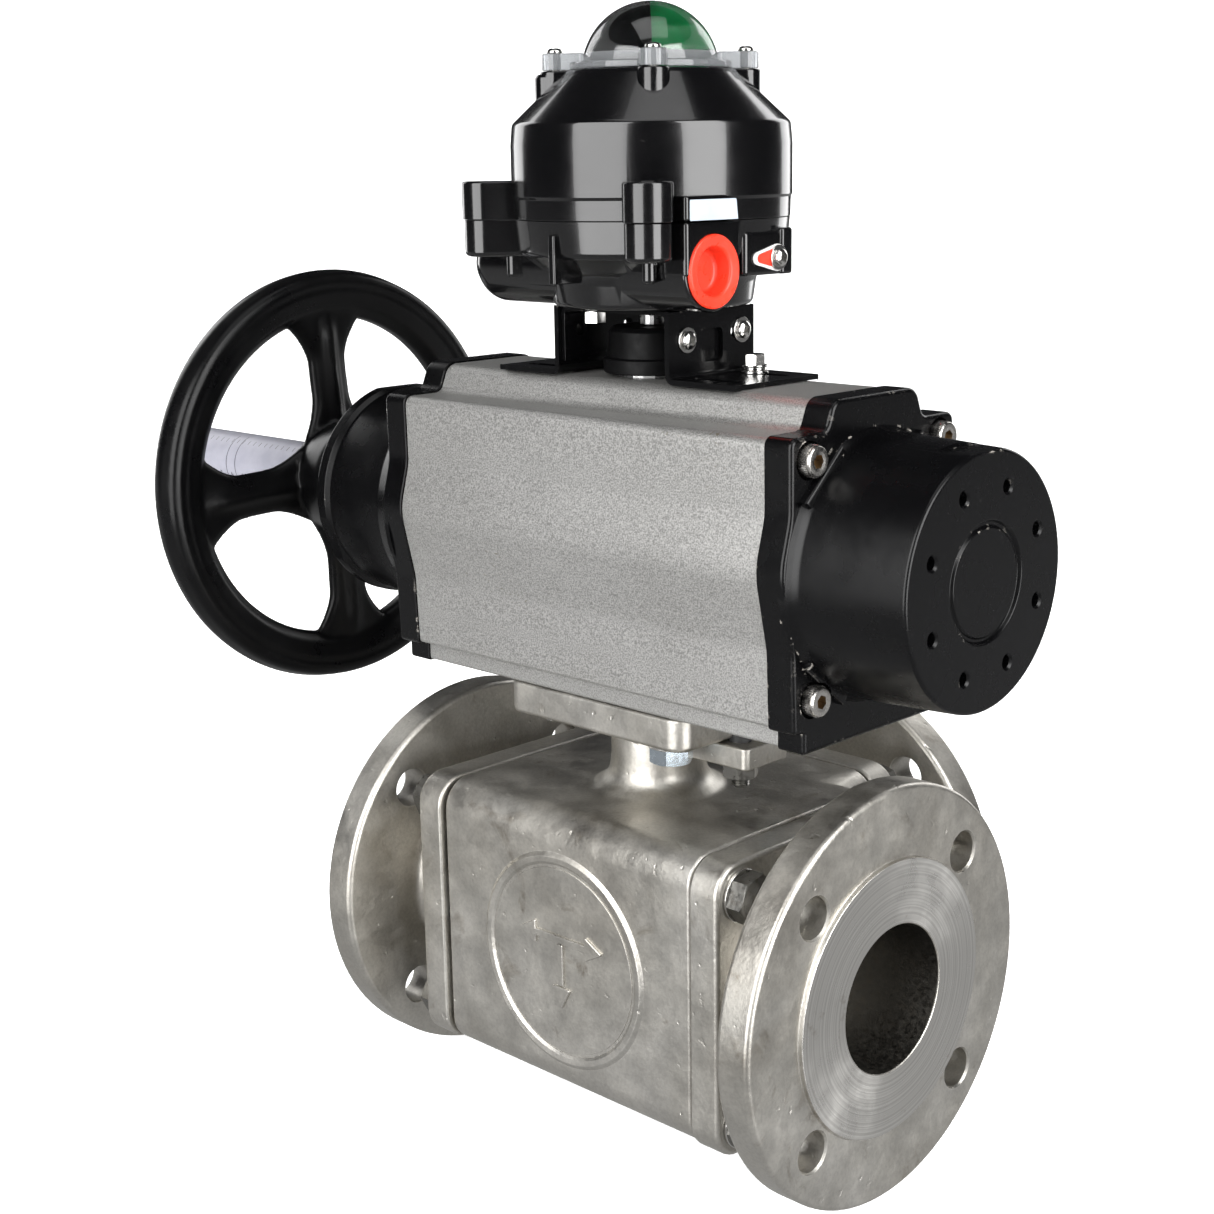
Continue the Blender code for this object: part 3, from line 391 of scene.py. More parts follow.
def machined(name, axis):
    """Turned steel: fine rings about a port's axis, which is one of the three directions."""
    f = Finish(name, (0.7, 0.68, 0.64), 1.0, 0.3, Anisotropic=0.65)
    around = f.node("ShaderNodeTangent")
    around.direction_type = "RADIAL"
    around.axis = "XYZ"[axis]
    f.set("Tangent", around.outputs[0])
    parts = f.node("ShaderNodeSeparateXYZ", Vector=f.where).outputs
    offsets = [f.math("SUBTRACT", parts[i], CROSSING[i]) for i in range(3) if i != axis]
    radius = f.math("SQRT", f.math("ADD", f.math("MULTIPLY", offsets[0], offsets[0]),
                                   f.math("MULTIPLY", offsets[1], offsets[1])))
    wobble = f.math("ADD", radius, f.math("MULTIPLY", f.noise(9, 2), 0.0006))
    rings = f.math("SINE", f.math("MULTIPLY", wobble, TURN / (0.85 * MM)))
    coarse = f.node("ShaderNodeTexNoise", Scale=1.0, Detail=2.0)
    coarse.noise_dimensions = "1D"
    f.feed(coarse.inputs["W"], f.math("MULTIPLY", radius, 900.0))
    tone = f.ramp(coarse.outputs["Fac"], (0.35, (0.62, 0.605, 0.575)), (0.65, (0.78, 0.765, 0.73)))
    stain = f.ramp(f.noise(45, 5, 0.7), (0.62, 0.0), (0.74, 0.5))
    f.set("Base Color", f.mix(stain, tone, (0.26, 0.21, 0.155)))
    f.set("Roughness", f.ramp(f.noise(80, 3), (0.3, 0.24), (0.7, 0.38)))
    f.bump(rings, 0.12, 0.08)
    return f.material


def bright_steel(name, color=(0.55, 0.54, 0.52), roughness=0.28, grime=0.35):
    f = Finish(name, color, 1.0, roughness)
    dirt = f.ramp(f.noise(260, 4, 0.7), (0.5, 0.0), (0.75, grime))
    f.set("Base Color", f.mix(dirt, color, (0.10, 0.085, 0.065)))
    f.set("Roughness", f.ramp(f.noise(500, 3), (0.3, roughness * 0.75), (0.7, roughness * 1.35)))
    f.bump(f.noise(900, 2), 0.12, 0.12)
    return f.material


def anodised(name="anodised_body"):
    f = Finish(name, (0.55, 0.54, 0.52), 0.85, 0.45)
    cloud = f.ramp(f.noise(9, 3, 0.6), (0.3, (0.36, 0.357, 0.343)), (0.7, (0.41, 0.407, 0.395)))
    speck = f.ramp(f.noise(1500, 1, 0.5), (0.34, 0.66), (0.5, 0.96), (0.68, 1.22))
    shade = f.mix(0.8, cloud, speck, "MULTIPLY")
    scuffs = f.ramp(f.noise(30, 2, 0.3, f.stretched(10, 1, 24), 1.5), (0.70, 0.0), (0.735, 0.7))
    few = f.ramp(f.noise(13, 1), (0.6, 0.0), (0.66, 1.0))
    shade = f.mix(f.math("MULTIPLY", scuffs, few), shade, (0.21, 0.185, 0.13))
    f.set("Base Color", shade)
    f.set("Roughness", f.ramp(f.noise(1500, 1), (0.35, 0.38), (0.65, 0.52)))
    f.bump(f.noise(1300, 1), 0.24, 0.25)
    return f.material


def black_paint(name, roughness, wear, orange=0.05, bare=(0.30, 0.28, 0.25), coat=0.0, shine=0.4):
    """Black coating with orange peel, dust and chips along its edges."""
    f = Finish(name, (0.006, 0.006, 0.0065), 0.0, roughness, Coat_Weight=coat, Coat_Roughness=0.04)
    f.set("Specular IOR Level", shine)
    dust = f.ramp(f.noise(520, 2, 0.4), (0.73, 0.0), (0.78, 0.30))
    shade = f.mix(dust, (0.0012, 0.0012, 0.0014), (0.02, 0.019, 0.018))
    if wear:
        chips = f.ramp(f.noise(240, 3, 0.6), (0.59, 0.0), (0.63, 1.0))
        areas = f.ramp(f.noise(26, 2), (0.52, 0.0), (0.62, 1.0))
        mask = f.math("MULTIPLY", f.math("MULTIPLY", f.edges(1.3, 0.12, 0.4), chips), areas)
        shade = f.mix(f.math("MULTIPLY", mask, wear), shade, bare)
    f.set("Base Color", shade)
    f.set("Roughness", f.ramp(f.noise(45, 4, 0.6), (0.3, roughness * 0.8), (0.7, roughness * 1.3)))
    fine = f.bump(f.noise(330, 2, 0.5), orange, 0.35)
    f.bump(f.noise(60, 2, 0.5), orange * 1.2, 1.0, fine)
    return f.material


def moulded(name, color, roughness, grain=0.05, **sockets):
    f = Finish(name, color, 0.0, roughness, **sockets)
    deep = tuple(c * 0.82 for c in color)
    f.set("Base Color", f.mix(f.ramp(f.noise(70, 3), (0.35, 0.0), (0.65, 1.0)), color, deep))
    f.set("Roughness", f.ramp(f.noise(260, 3), (0.3, roughness * 0.8), (0.7, roughness * 1.25)))
    f.bump(f.noise(700, 2), grain, 0.2)
    return f.material


def clear_plastic():
    f = Finish("clear_dome", (0.97, 0.985, 0.98), 0.0, 0.03, Transmission_Weight=1.0, IOR=1.46,
               Specular_IOR_Level=0.3)
    height = f.node("ShaderNodeSeparateXYZ", Vector=f.where).outputs[2]
    top_of_ears = CROSSING.z + (COVER_TOP + 7.2) * MM
    dome = f.math("GREATER_THAN", height, top_of_ears)
    f.set("Base Color", f.mix(dome, (0.30, 0.31, 0.32), (0.97, 0.985, 0.98)))
    f.set("Transmission Weight", f.ramp(dome, (0.0, 0.75), (1.0, 1.0)))
    f.bump(f.noise(55, 2), 0.02, 0.3)
    return f.material


def indicator_paint():
    """Opposite quadrants green, the others black, about the stem."""
    f = Finish("indicator_quadrants", (0, 0.2, 0.06), 0.0, 0.35)
    x, y, _ = f.node("ShaderNodeSeparateXYZ", Vector=f.where).outputs
    dx = f.math("SUBTRACT", x, CROSSING.x)
    dy = f.math("SUBTRACT", y, CROSSING.y)
    along = f.math("GREATER_THAN", f.math("ABSOLUTE", dx), f.math("ABSOLUTE", dy))
    green = f.mix(f.ramp(f.noise(120, 3), (0.35, 0.0), (0.65, 1.0)), (0.0, 0.20, 0.055), (0.0, 0.16, 0.042))
    f.set("Base Color", f.mix(along, (0.003, 0.003, 0.003), green))
    f.bump(f.noise(500, 2), 0.04, 0.2)
    return f.material


def scale_print():
    """White printed half sleeve: ticks every 5 mm and a neutral band, black below the print."""
    f = Finish("scale_print", (0.8, 0.8, 0.85), 0.0, 0.42)
    x, y, z = f.node("ShaderNodeSeparateXYZ", Vector=f.where).outputs
    along = f.math("MULTIPLY", f.math("SUBTRACT", CROSSING.x, x), 1 / MM)
    rise = f.math("MULTIPLY", f.math("SUBTRACT", z, CROSSING.z + ACT_Z * MM), 1 / MM)
    step = f.math("FRACT", f.math("DIVIDE", along, 5.0))
    line = f.math("LESS_THAN", step, 0.09)
    low_row = f.math("MULTIPLY", f.math("GREATER_THAN", rise, -9.4), f.math("LESS_THAN", rise, -7.6))
    high_row = f.math("MULTIPLY", f.math("GREATER_THAN", rise, 11.5), f.math("LESS_THAN", rise, 13.2))
    ticks = f.math("MULTIPLY", line, f.math("MAXIMUM", low_row, high_row))
    off = f.math("ABSOLUTE", f.math("SUBTRACT", along, 305.0))
    band = f.math("LESS_THAN", f.math("ABSOLUTE", f.math("SUBTRACT", off, 4.0)), 0.28)
    ink = f.math("MAXIMUM", ticks, f.math("MULTIPLY", band, f.math("LESS_THAN", rise, 14.5)))
    paper = f.mix(f.ramp(f.noise(140, 4), (0.35, 0.0), (0.65, 1.0)), (0.23, 0.23, 0.265), (0.20, 0.20, 0.235))
    shade = f.mix(ink, paper, (0.02, 0.02, 0.03))
    notch = f.math("MULTIPLY", f.math("LESS_THAN", off, 7.0), 1.1)
    below = f.math("LESS_THAN", f.math("ADD", rise, notch), -9.9)
    f.set("Base Color", f.mix(below, shade, (0.008, 0.008, 0.009)))
    f.bump(f.noise(400, 2), 0.03, 0.2)
    return f.material


STEEL = cast_steel()
TURNED = {"right": machined("turned_right", 0), "left": machined("turned_left", 0),
          "rear": machined("turned_rear", 1)}
# Painted shade: the bore wall gets a near-black steel colour, standing in for the shade inside the deep bore;
# the noise on top of it is dirt.
BORE_PAINTED_SHADE = bright_steel("bore_steel_painted_shade", (0.10, 0.095, 0.085), 0.45, 0.5)
SCREW = bright_steel("screw_steel", (0.62, 0.60, 0.57), 0.24, 0.3)
SOCKET = bright_steel("socket_steel", (0.32, 0.24, 0.15), 0.4, 0.6)
BOLT = bright_steel("bolt_dark_steel", (0.24, 0.235, 0.22), 0.36, 0.55)
ZINC = bright_steel("zinc_blue", (0.55, 0.62, 0.68), 0.22, 0.2)
CHROME = bright_steel("pan_screw_steel", (0.68, 0.67, 0.65), 0.16, 0.25)
GEAR = bright_steel("machined_steel", (0.40, 0.40, 0.40), 0.3, 0.3)
BODY = anodised()
PISTON = bright_steel("piston_alloy", (0.58, 0.58, 0.57), 0.35, 0.2)
CAP = black_paint("cap_paint", 0.25, 1.0, 0.04, shine=0.26)
WHEEL = black_paint("wheel_paint", 0.30, 0.8, 0.05, shine=0.2)
GLOSS = black_paint("box_paint", 0.17, 0.0, 0.02, coat=0.4, shine=0.45)
MASK = moulded("mask_black", (0.002, 0.002, 0.002), 0.6, 0.02, Specular_IOR_Level=0.15)
SHEET = black_paint("sheet_paint", 0.2, 0.15, 0.02, shine=0.3)
KNOB = moulded("knob_plastic", (0.002, 0.002, 0.0022), 0.45, 0.1, Specular_IOR_Level=0.1)
RED = moulded("plug_red", (0.62, 0.030, 0.012), 0.32, 0.03, Specular_IOR_Level=0.35)
TAG_WHITE = moulded("tag_white", (0.55, 0.54, 0.53), 0.3, 0.02)
LABEL = moulded("label_white", (0.33, 0.37, 0.42), 0.35, 0.02)
PTFE = moulded("white_polymer", (0.80, 0.79, 0.74), 0.4, 0.05)
SEAL = moulded("seal_rubber", (0.02, 0.02, 0.02), 0.55, 0.12)
SWITCH = moulded("switch_plastic", (0.05, 0.05, 0.065), 0.45, 0.08)
CLEAR = clear_plastic()
QUADRANTS = indicator_paint()
PRINT = scale_print()


# ---------------------------------------------------------------- fasteners

def hexagon(across_flats, turn=0.0):
    return [polar(across_flats / math.sqrt(3), turn + TURN * index / 6) for index in range(6)]


def hex_head(name, where, across_flats, low, high, material, washer=None, stands_for=(),
             turn=0.0, thread=None):
    """A hexagon head whose corners are turned down to a cone, with its washer and thread tip."""
    head = slab(name, hexagon(across_flats, turn), low, high, where, 0)
    reach = across_flats / math.sqrt(3)
    top = across_flats * 0.48
    cone = [(0, low - 1), (reach + 1, low - 1), (reach + 1, high - (reach + 1 - top) * 0.5),
            (top, high + 0.01), (0, high + 0.01)]
    combine(head, [lathe("cone", cone, where, 64)], "INTERSECT")
    if washer:
        radius, thick = washer
        ring = [(0, low - thick), (radius, low - thick, 0.3), (radius, low - 0.05, 0.3), (0, low - 0.05)]
        show(lathe(name + "_washer", ring, where, 48), CHROME, ROOT, ())
    if thread:
        radius, end = thread
        rod = [(0, low)]
        side = 1 if end > high else -1
        start = high if end > high else low
        count = int(abs(end - start) / 1.1)
        for index in range(count):
            at = start + side * 1.1 * index
            rod += [(radius, at + side * 0.25), (radius - 0.65, at + side * 0.8)]
        rod += [(radius - 1.2, end), (0, end)]
        show(lathe(name + "_thread", rod, where, 40), material, ROOT, ())
    return show(head, material, ROOT, stands_for)


def socket_screw(name, where, radius, low, high, stands_for=(), material=None):
    """A knurled socket-head screw."""
    ridges = 44
    outline = []
    for index in range(ridges * 2):
        outline.append(polar(radius - (0.0 if index % 2 else 0.28), TURN * index / (ridges * 2)))
    head = slab(name, outline, low, high - 1.5, where, 0.2, 0)
    crown = [(0, high - 2.5), (radius - 0.35, high - 2.5), (radius - 0.35, high, 0.9),
             (radius * 0.62, high, 0.4), (0, high - 0.5)]
    combine(head, [lathe("crown", crown, where, 64)])
    cut(head, slab("hex", hexagon(radius * 0.8, 0.3), high - radius * 0.75, high + 1, where, 0))
    inner = local_test(where, lambda c, n: math.hypot(c.x, c.y) < radius * 0.49 and c.z < high - 0.55)
    return show(head, material or SCREW, ROOT, stands_for, 28, [(SOCKET, inner)])


def pan_screw(name, where, radius, low, washer=True):
    """A cross-recess pan head with its washer."""
    high = low + radius * 0.62
    head = lathe(name, [(0, low), (radius, low, 0.3), (radius, low + radius * 0.35, radius * 0.3),
                        (radius * 0.55, high, radius * 0.4), (0, high)], where, 48)
    for index in range(2):
        arm = rectangle(radius * 0.62, radius * 0.13, 0.1, 2)
        cut(head, slab("arm", arm, high - radius * 0.4, high + 1,
                       moved(where, (0, 0, 0), 0.5 + index * TURN / 4), 0))
    if washer:
        ring = [(0, low - 0.9), (radius * 1.4, low - 0.9, 0.2), (radius * 1.4, low - 0.1, 0.2),
                (0, low - 0.1)]
        show(lathe(name + "_washer", ring, where, 48), CHROME, ROOT, ())
    return show(head, CHROME, ROOT, ())


# ---------------------------------------------------------------- valve

def end_connector(side, face):
    where = PORTS[side]
    back = face - 19
    profile = [(32.5, 49.3), (32.5, face, 0.9), (61, face, 0.5), (61.4, face - 2, 0.5), (92.5, face - 2, 2.4),
               (92.5, back, 2.6), (52, back, 5), (46, back - 8, 6), (46, 97, 4), (50.5, 92, 1), (50.5, 79, 0),
               (54.3, 79), (54.3, 55), (39.6, 40.3), (38.2, 41), (38.2, 49.3)]
    part = lathe("flange_" + side, profile, where, 128, True)
    plate = slab("plate", rectangle(66, 66, 14), 78.6, 94, where, 1.2, 2.2, 4)
    cut(plate, rod(48, 70, 100, where, 96))
    combine(part, [plate])
    for angle in DIAGONALS:
        x, y = polar(72.5, angle)
        cut(part, lathe("bolt_hole", [(0, back - 1), (10.2, back - 1), (9, back + 1), (9, face - 3),
                                      (9.8, face - 1.9), (9.8, face + 1), (0, face + 1)],
                        moved(where, (x, y, 0)), 40))
    raised = local_test(where, lambda c, n: n.z > 0.9 and c.z > face - 0.6)
    # The bore wall takes the painted-shade steel.
    inside = local_test(where, lambda c, n: math.hypot(c.x, c.y) < 33.2 and abs(n.z) < 0.5)
    show(part, STEEL, ROOT, "end_connector_" + side, 32,
         [(TURNED[side], raised), (BORE_PAINTED_SHADE, inside)])
    for index, angle in enumerate(DIAGONALS):
        x, y = polar(51 * math.sqrt(2), angle)
        nodes = ("connector_bolt_" + str(index + 1),) if side == "right" else ()
        hex_head("connector_bolt_" + side + "_" + str(index + 1), moved(where, (x, y, 0), 0.2 + index), 19.5,
                 95.6, 103.4, BOLT, (11.4, 1.4), nodes)


def valve_body():
    body = slab("valve_casting", rectangle(66 - 2, 66, 14, 10), -77, 77, PORTS["right"], 1.6, 1.6, 3)
    branch = slab("branch", rectangle(66, 66, 14, 10), 0, 77, PORTS["rear"], 0, 1.6, 3)
    combine(body, [branch])
    neck = [(0, 60), (39, 60), (38, 66.0), (31, 66.8, 8), (22.6, 72, 12), (21.5, 82), (21.5, 102), (0, 102)]
    pad = slab("pad", rectangle(53.9, 43.7, 8), 100.5, 115.2, HERE, 2.2, 1.2, 4)
    lug = slab("lug", rectangle(18, 14.5, 3, 4), 89, 99, moved(HERE, (48, -0.5, 0)), 1.0)
    post = slab("post", rectangle(8, 13.5, 3, 4), 90, 103, moved(HERE, (38, -0.5, 0)), 0.8)
    combine(body, [lathe("neck", neck, HERE, 96), pad, lug, post])
    rim = [(44.6, 62.5), (44.6, 64.2, 0.4), (46.0, 65.0, 1.0), (48.6, 65.3, 1.2), (50.6, 63.9, 0.4),
           (50.6, 62.5)]
    disc = [(0, 62), (43.9, 62), (43.3, 64.4, 0.3), (0, 64.4)]
    mark_at = moved(FRONT, (0, -1.2, 0))
    combine(body, [lathe("cast_ring", rim, mark_at, 120, True), lathe("cast_disc", disc, mark_at, 120)])
    for spot, outline in flow_mark():
        combine(body, [slab("mark", outline, 63.5, 65.6, moved(FRONT, spot), 0, 0.6, 3)])
    show(body, STEEL, ROOT, ("valve_body",))
    below = place((0, 0, -1), (0, 1, 0))
    for index, (x, y) in enumerate([(36, 30), (-36, 30), (-36, -30), (36, -30)]):
        spot = moved(below, (-x, y, 0))
        node = "pad_bolt_" + str(index + 1)
        if index == 2:
            stud = [(0, -124), (4.4, -124), (4.9, -123.4), (4.9, -97.2), (4.0, -96.4), (0, -96.4)]
            show(lathe(node + "_stud", stud, spot, 40), CHROME, ROOT, node)
        else:
            hex_head(node + "_head", spot, 17, -98.6, -91.4, ZINC, (10.2, 1.6), (node,), turn=0.35 * index)
    hex_head("stop_nut", moved(below, (-54, -5, 0)), 14, -88.8, -82.6, BOLT, (8.4, 0.9),
             thread=(4, -78.0))
    cap = [(0, 98), (5.2, 98), (5.2, 106, 1.0), (3.6, 109, 1.0), (0, 109)]
    show(lathe("stop_pin", cap, moved(HERE, (54, -5, 0)), 40), SEAL, ROOT, ())


def flow_mark():
    """A three-way flow sign for the front casting: a bar, a stem, and an arrow head at each end."""
    bar = rectangle(17, 1.8, 0.8, 3)
    stem = rectangle(1.8, 10, 0.8, 3)
    head = fillet([(7.5, 0, 0.8), (-3.5, 6, 0.8), (-3.5, -6, 0.8)], 3)
    left = [(-x, -y) for x, y in head]
    down = [(y, -x) for x, y in head]
    return [((0, 9, 0), bar), ((0, -3.0, 0), stem), ((19, 9, 0), head), ((-19, 9, 0), left),
            ((0, -17, 0), down)]


def ball():
    profile = [(54 * math.sin(math.pi * step / 40), -54 * math.cos(math.pi * step / 40))
               for step in range(41)]
    profile[0], profile[-1] = (0, -54), (0, 54)
    part = lathe("ball_polished", profile, HERE, 80)
    cut(part, lathe("run", [(0, -60), (32.5, -60), (32.5, 60), (0, 60)], PORTS["right"], 80))
    cut(part, rod(32.2, 0.3, 60, PORTS["rear"], 80))
    cut(part, block("slot", (-16, -6, 46), (16, 6, 60), HERE, 0.4))
    show(part, bright_steel("ball_steel", (0.5, 0.49, 0.47), 0.14, 0.1), TRAIN, "ball")


# ---------------------------------------------------------------- actuator

SECTION = [(26, 68.5, 7), (31, 56, 5), (52.5, 56, 4), (52.2, 25, 25), (58, 4, 30), (50.8, -28, 25),
           (49.6, -60.5, 2), (43.6, -61, 0.4), (43.6, -70, 1.5)]


def section(grow=0.0, scale=1.0):
    half = [(x + grow, y + math.copysign(grow, y), r * scale) for x, y, r in SECTION]
    outline = half + [(-x, y, r) for x, y, r in reversed(half)]
    return list(reversed(fillet(outline, 9)))


def actuator():
    body = slab("actuator_extrusion", section(), -107.3, 107.3, ENDS["right"], 0.3)
    show(body, BODY, ROOT, "actuator_body", 25)


def corner_spots():
    return [(42.7, 47.5), (-42.7, 47.5), (-39.5, -48.5), (39.5, -48.5)]


def end_cap(side):
    """The plate, its round housing, and a web from each screw's pocket into the housing."""
    where = ENDS[side]
    left = side == "left"
    end = 185 if left else 175
    cap = slab("cap_plate_" + side, section(0.7, 1.0), 107.6, 121.5, where, 0.5, 1.8, 4)
    if left:
        barrel = [(0, 118), (57.2, 118), (56.6, 121.5, 1), (55.4, 124, 3), (53.6, 130, 8), (50.8, 170),
                  (52.6, 172, 0.6), (52.6, 178, 1.2), (47, 180, 2), (34, 182.0, 1), (33, end, 1), (0, end)]
    else:
        barrel = [(0, 118), (57.2, 118), (56.4, 121.5, 2), (54.6, 125, 9), (52.2, end, 1.6),
                  (24.6, end, 0.7), (23.6, end - 1.5, 0.5), (22.4, end - 1.5, 0.4), (21.4, end - 0.4, 0.6),
                  (0, end - 0.4)]
    housing = lathe("barrel", barrel, where, 160)
    if left:
        cut(housing, hole(15.4, 150, end, where, (0, 0), 1.2, 64))
    else:
        spots = [polar(38.4, math.radians(25 + 45 * index)) for index in range(8)]
        cut(housing, *[hole(2.7, end - 7, end, where, spot, 0.9, 32) for spot in spots])
    parts = [housing]
    for x, y in corner_spots():
        angle = math.atan2(y, x)
        web = [(0, -15), (56.5, -15), (56.5, 15), (0, 15)]
        turned_web = [(a * math.cos(angle) - b * math.sin(angle), a * math.sin(angle) + b * math.cos(angle))
                      for a, b in web]
        parts.append(slab("web", turned_web, 119, 125.5, where, 0, 1.4, 4))
    combine(cap, parts)
    for turn, start, height in ((90, end - 15, 51.0), (-22, end - 20, 51.3)):
        box_where = moved(where, (0, 0, 0), math.radians(turn))
        cut(cap, block("flat", (height, -15, start), (70, 15, end + 4), box_where, 0.6))
    for x, y in corner_spots():
        cut(cap, hole(7.7, 117.8, 140, where, (x, y), 0, 48))
    show(cap, CAP, ROOT, "end_cap_" + side, 30)
    for index, (x, y) in enumerate(corner_spots()):
        socket_screw("cap_screw_" + side + "_" + str(index + 1), moved(where, (x, y, 0), 0.7 * index),
                     6.5, 118.0, 126.4, "end_cap_" + side + "_screw_" + str(index + 1))


def handwheel():
    where = place((1, 0, 0), UP, (-232, 0, ACT_Z))
    rim = [(107, 0, 5), (105, 8.5, 4), (100, 10, 1.5), (98.0, 8.4, 1.2), (96, 9.6, 1.5), (88, 7, 4),
           (83, 2.5, 3), (83, -4, 3), (89, -9, 4), (101, -10, 5), (106, -6, 4)]
    wheel = lathe("handwheel_rim", rim, where, 160, True)
    hub = [(15.8, -4.5), (15.8, 38), (33, 38, 1), (33, 26, 4), (29, 8, 6), (26, -3, 4), (20, -4.5, 2)]
    parts = [lathe("hub", hub, where, 96, True)]
    for index in range(4):
        parts.append(spoke(moved(where, (0, 0, 0), math.radians(3 + 90 * index))))
    combine(wheel, parts)
    skin = wheel.modifiers.new("cast", "REMESH")
    skin.mode = "VOXEL"
    skin.voxel_size = 1.15 * MM
    soft = wheel.modifiers.new("soft", "SMOOTH")
    soft.factor = 0.5
    soft.iterations = 5
    bake(wheel)
    show(wheel, WHEEL, "handwheel_body", "handwheel", 60)


def spoke(where):
    """A dished arm that widens into the hub and the rim, with a rib along its outer face."""
    rings = []
    count = 26
    for row in range(count + 1):
        share = row / count
        radius = 19 + 69 * share
        half = 11.2 + 13 * max(0, 0.34 - share) ** 1.5 * 4 + 15 * max(0, share - 0.6) ** 1.7 * 6
        dish = 2.5 + 2.6 * (1 - share) - 1.2 * math.sin(math.pi * share)
        ring = []
        across = 14
        for step in range(across + 1):
            t = 1 - 2 * step / across
            rib = 3.0 * math.exp(-(t * half / 4.0) ** 2) * min(1, 6 * share * (1 - share))
            ring.append((radius, half * t, dish + 3.0 + rib - 2.6 * t ** 6))
        for step in range(across + 1):
            t = -1 + 2 * step / across
            rib = 3.0 * math.exp(-(t * half / 4.0) ** 2) * min(1, 6 * share * (1 - share))
            ring.append((radius, half * t, dish - 4.2 - rib + 2.2 * t ** 6))
        rings.append(ring)
    return loft("spoke", rings, where)


def scale():
    where = place((-1, 0, 0), UP, (0, 0, ACT_Z))
    tube = [(0, 220), (14, 220), (14, 358, 1.5), (9, 360, 0.5), (8.5, 357), (0, 357)]
    show(lathe("scale_tube_black", tube, where, 72), KNOB, "spindle_body", "scale_tube")
    sleeve = [(14.15, 245), (14.15, 350), (15.2, 350, 0.2), (15.2, 245, 0.2)]
    show(lathe("scale_sleeve_print", sleeve, where, 96, True), PRINT, "spindle_body", "scale_sleeve")
    for index in range(9):
        numeral(str(index + 1), 255 + index * 10)


def numeral(text, along):
    """A small printed number on the sleeve's camera side, bent to its surface."""
    curve = bpy.data.curves.new("numeral", "FONT")
    curve.body = text
    curve.size = 3.6
    curve.align_x = "CENTER"
    curve.extrude = 0.03
    source = bpy.data.objects.new("numeral", curve)
    bpy.context.scene.collection.objects.link(source)
    bpy.context.view_layer.update()
    mesh = bpy.data.meshes.new_from_object(source.evaluated_get(bpy.context.evaluated_depsgraph_get()))
    bpy.data.objects.remove(source, do_unlink=True)
    for vertex in mesh.vertices:
        angle = (vertex.co.y - 6.2) / 15.2
        radius = 15.25 + vertex.co.z
        vertex.co = Vector((-along + vertex.co.x, -radius * math.cos(angle),
                            ACT_Z + radius * math.sin(angle)))
    mesh.transform(HERE)
    obj = bpy.data.objects.new("scale_number_" + text, mesh)
    bpy.context.scene.collection.objects.link(obj)
    show(obj, KNOB, "spindle_body", ())


# ---------------------------------------------------------------- bracket and switch box

def bracket():
    top = 254.3
    for side, turn in (("right", 0), ("left", math.pi)):
        where = moved(HERE, (0, 0, 0), turn) @ Matrix.Rotation(math.pi / 2, 4, "X")
        bend = [(70, top, 0.3), (70, top + 2, 0.3), (34, top + 2, 2.2), (34, 284.2, 0.3), (32, 284.2, 0.3),
                (32, top, 4.2)]
        foot = slab("bracket_" + side, list(reversed(fillet(bend, 6))), -27, 27, where, 0.2, 0.2, 2)
        level = moved(HERE, (0, 0, 0), turn)
        for y in (-15, 15):
            slot = [(x + 50, z + y) for x, z in capsule(-10, 10, 2.9, 0)]
            cut(foot, slab("slot", slot, top - 1, top + 4, level, 0))
        ahead = level @ place_turn()
        for y in (-15, 15):
            cut(foot, rod(2.9, 20, 40, moved(ahead, (y, BRACKET_SCREWS_UP, 0)), 32))
        cut(foot, block("window", (-7, 262, 30), (7, 276, 36), ahead, 2.5))
        show(foot, SHEET, ROOT, "bracket_foot_" + side)
    profile = [(-31.7, 260.4), (-29.7, 260.4), (-29.7, 282.3, 2), (29.7, 282.3, 2), (29.7, 260.4),
               (31.7, 260.4), (31.7, 284.2, 3), (-31.7, 284.2, 3)]
    across = HERE @ Matrix.Rotation(math.pi / 2, 4, "X")
    seat = slab("bracket_seat", fillet(profile, 6), -25, 25, across, 0.2, 0.2, 2)
    cut(seat, rod(12, 275, 290, HERE, 48))
    side_on = place_turn()
    for y in (-15, 15):
        cut(seat, rod(2.9, -40, 40, moved(HERE @ side_on, (y, BRACKET_SCREWS_UP, 0)), 32))
    show(seat, SHEET, ROOT, "bracket_platform")
    for name, y, z in (("a", -16, 272), ("b", 19, 274)):
        pan_screw("bracket_screw_" + name, moved(HERE @ side_on, (y, z, 0)), 3.9, 35.0)
    pan_screw("bracket_screw_c", moved(place((-1, 0, 0), UP), (14, 274, 0)), 3.9, 35.0)
    for name, x in (("base_bolt_right", 45), ("base_bolt_left", -45)):
        hex_head(name, moved(HERE, (x, 15, 0)), 8, 260.0, 264.6, CHROME, (5.6, 0.9), turn=0.3)
        coil = [(2.6, 257.6), (5.0, 257.6, 0.3), (5.0, 259.0, 0.3), (2.6, 259.0)]
        show(lathe(name + "_spring_washer", coil, moved(HERE, (x, 15, 0)), 48, True), CHROME, ROOT, ())
        flat = [(2.6, 256.4), (6.0, 256.4, 0.2), (6.0, 257.5, 0.2), (2.6, 257.5)]
        show(lathe(name + "_flat_washer", flat, moved(HERE, (x, 15, 0)), 48, True), CHROME, ROOT, ())
    for name, x, y in (("box_nut_left", -18.5, -18), ("box_nut_right", 18.5, 18)):
        hex_head(name, moved(HERE, (x, y, 0)), 9, 277.0, 282.0, CHROME, turn=0.5)
    knob = [(0, 275.6), (17.4, 275.6, 1.5), (19.4, 273.5, 1), (20, 262.4, 0.4), (22, 261.8, 0.6),
            (22, 255.6, 0.8), (8.4, 255.6), (8.4, 268.4), (0, 268.4)]
    show(lathe("coupler_knob", knob, HERE, 80), KNOB, TRAIN, "coupler", 32)


def place_turn():
    """Turns a level place so that its local X is +Y, its Y is up, and its Z is +X."""
    return Matrix(((0, 0, 1), (1, 0, 0), (0, 1, 0))).to_4x4()


BOSS_FACE = 58.0


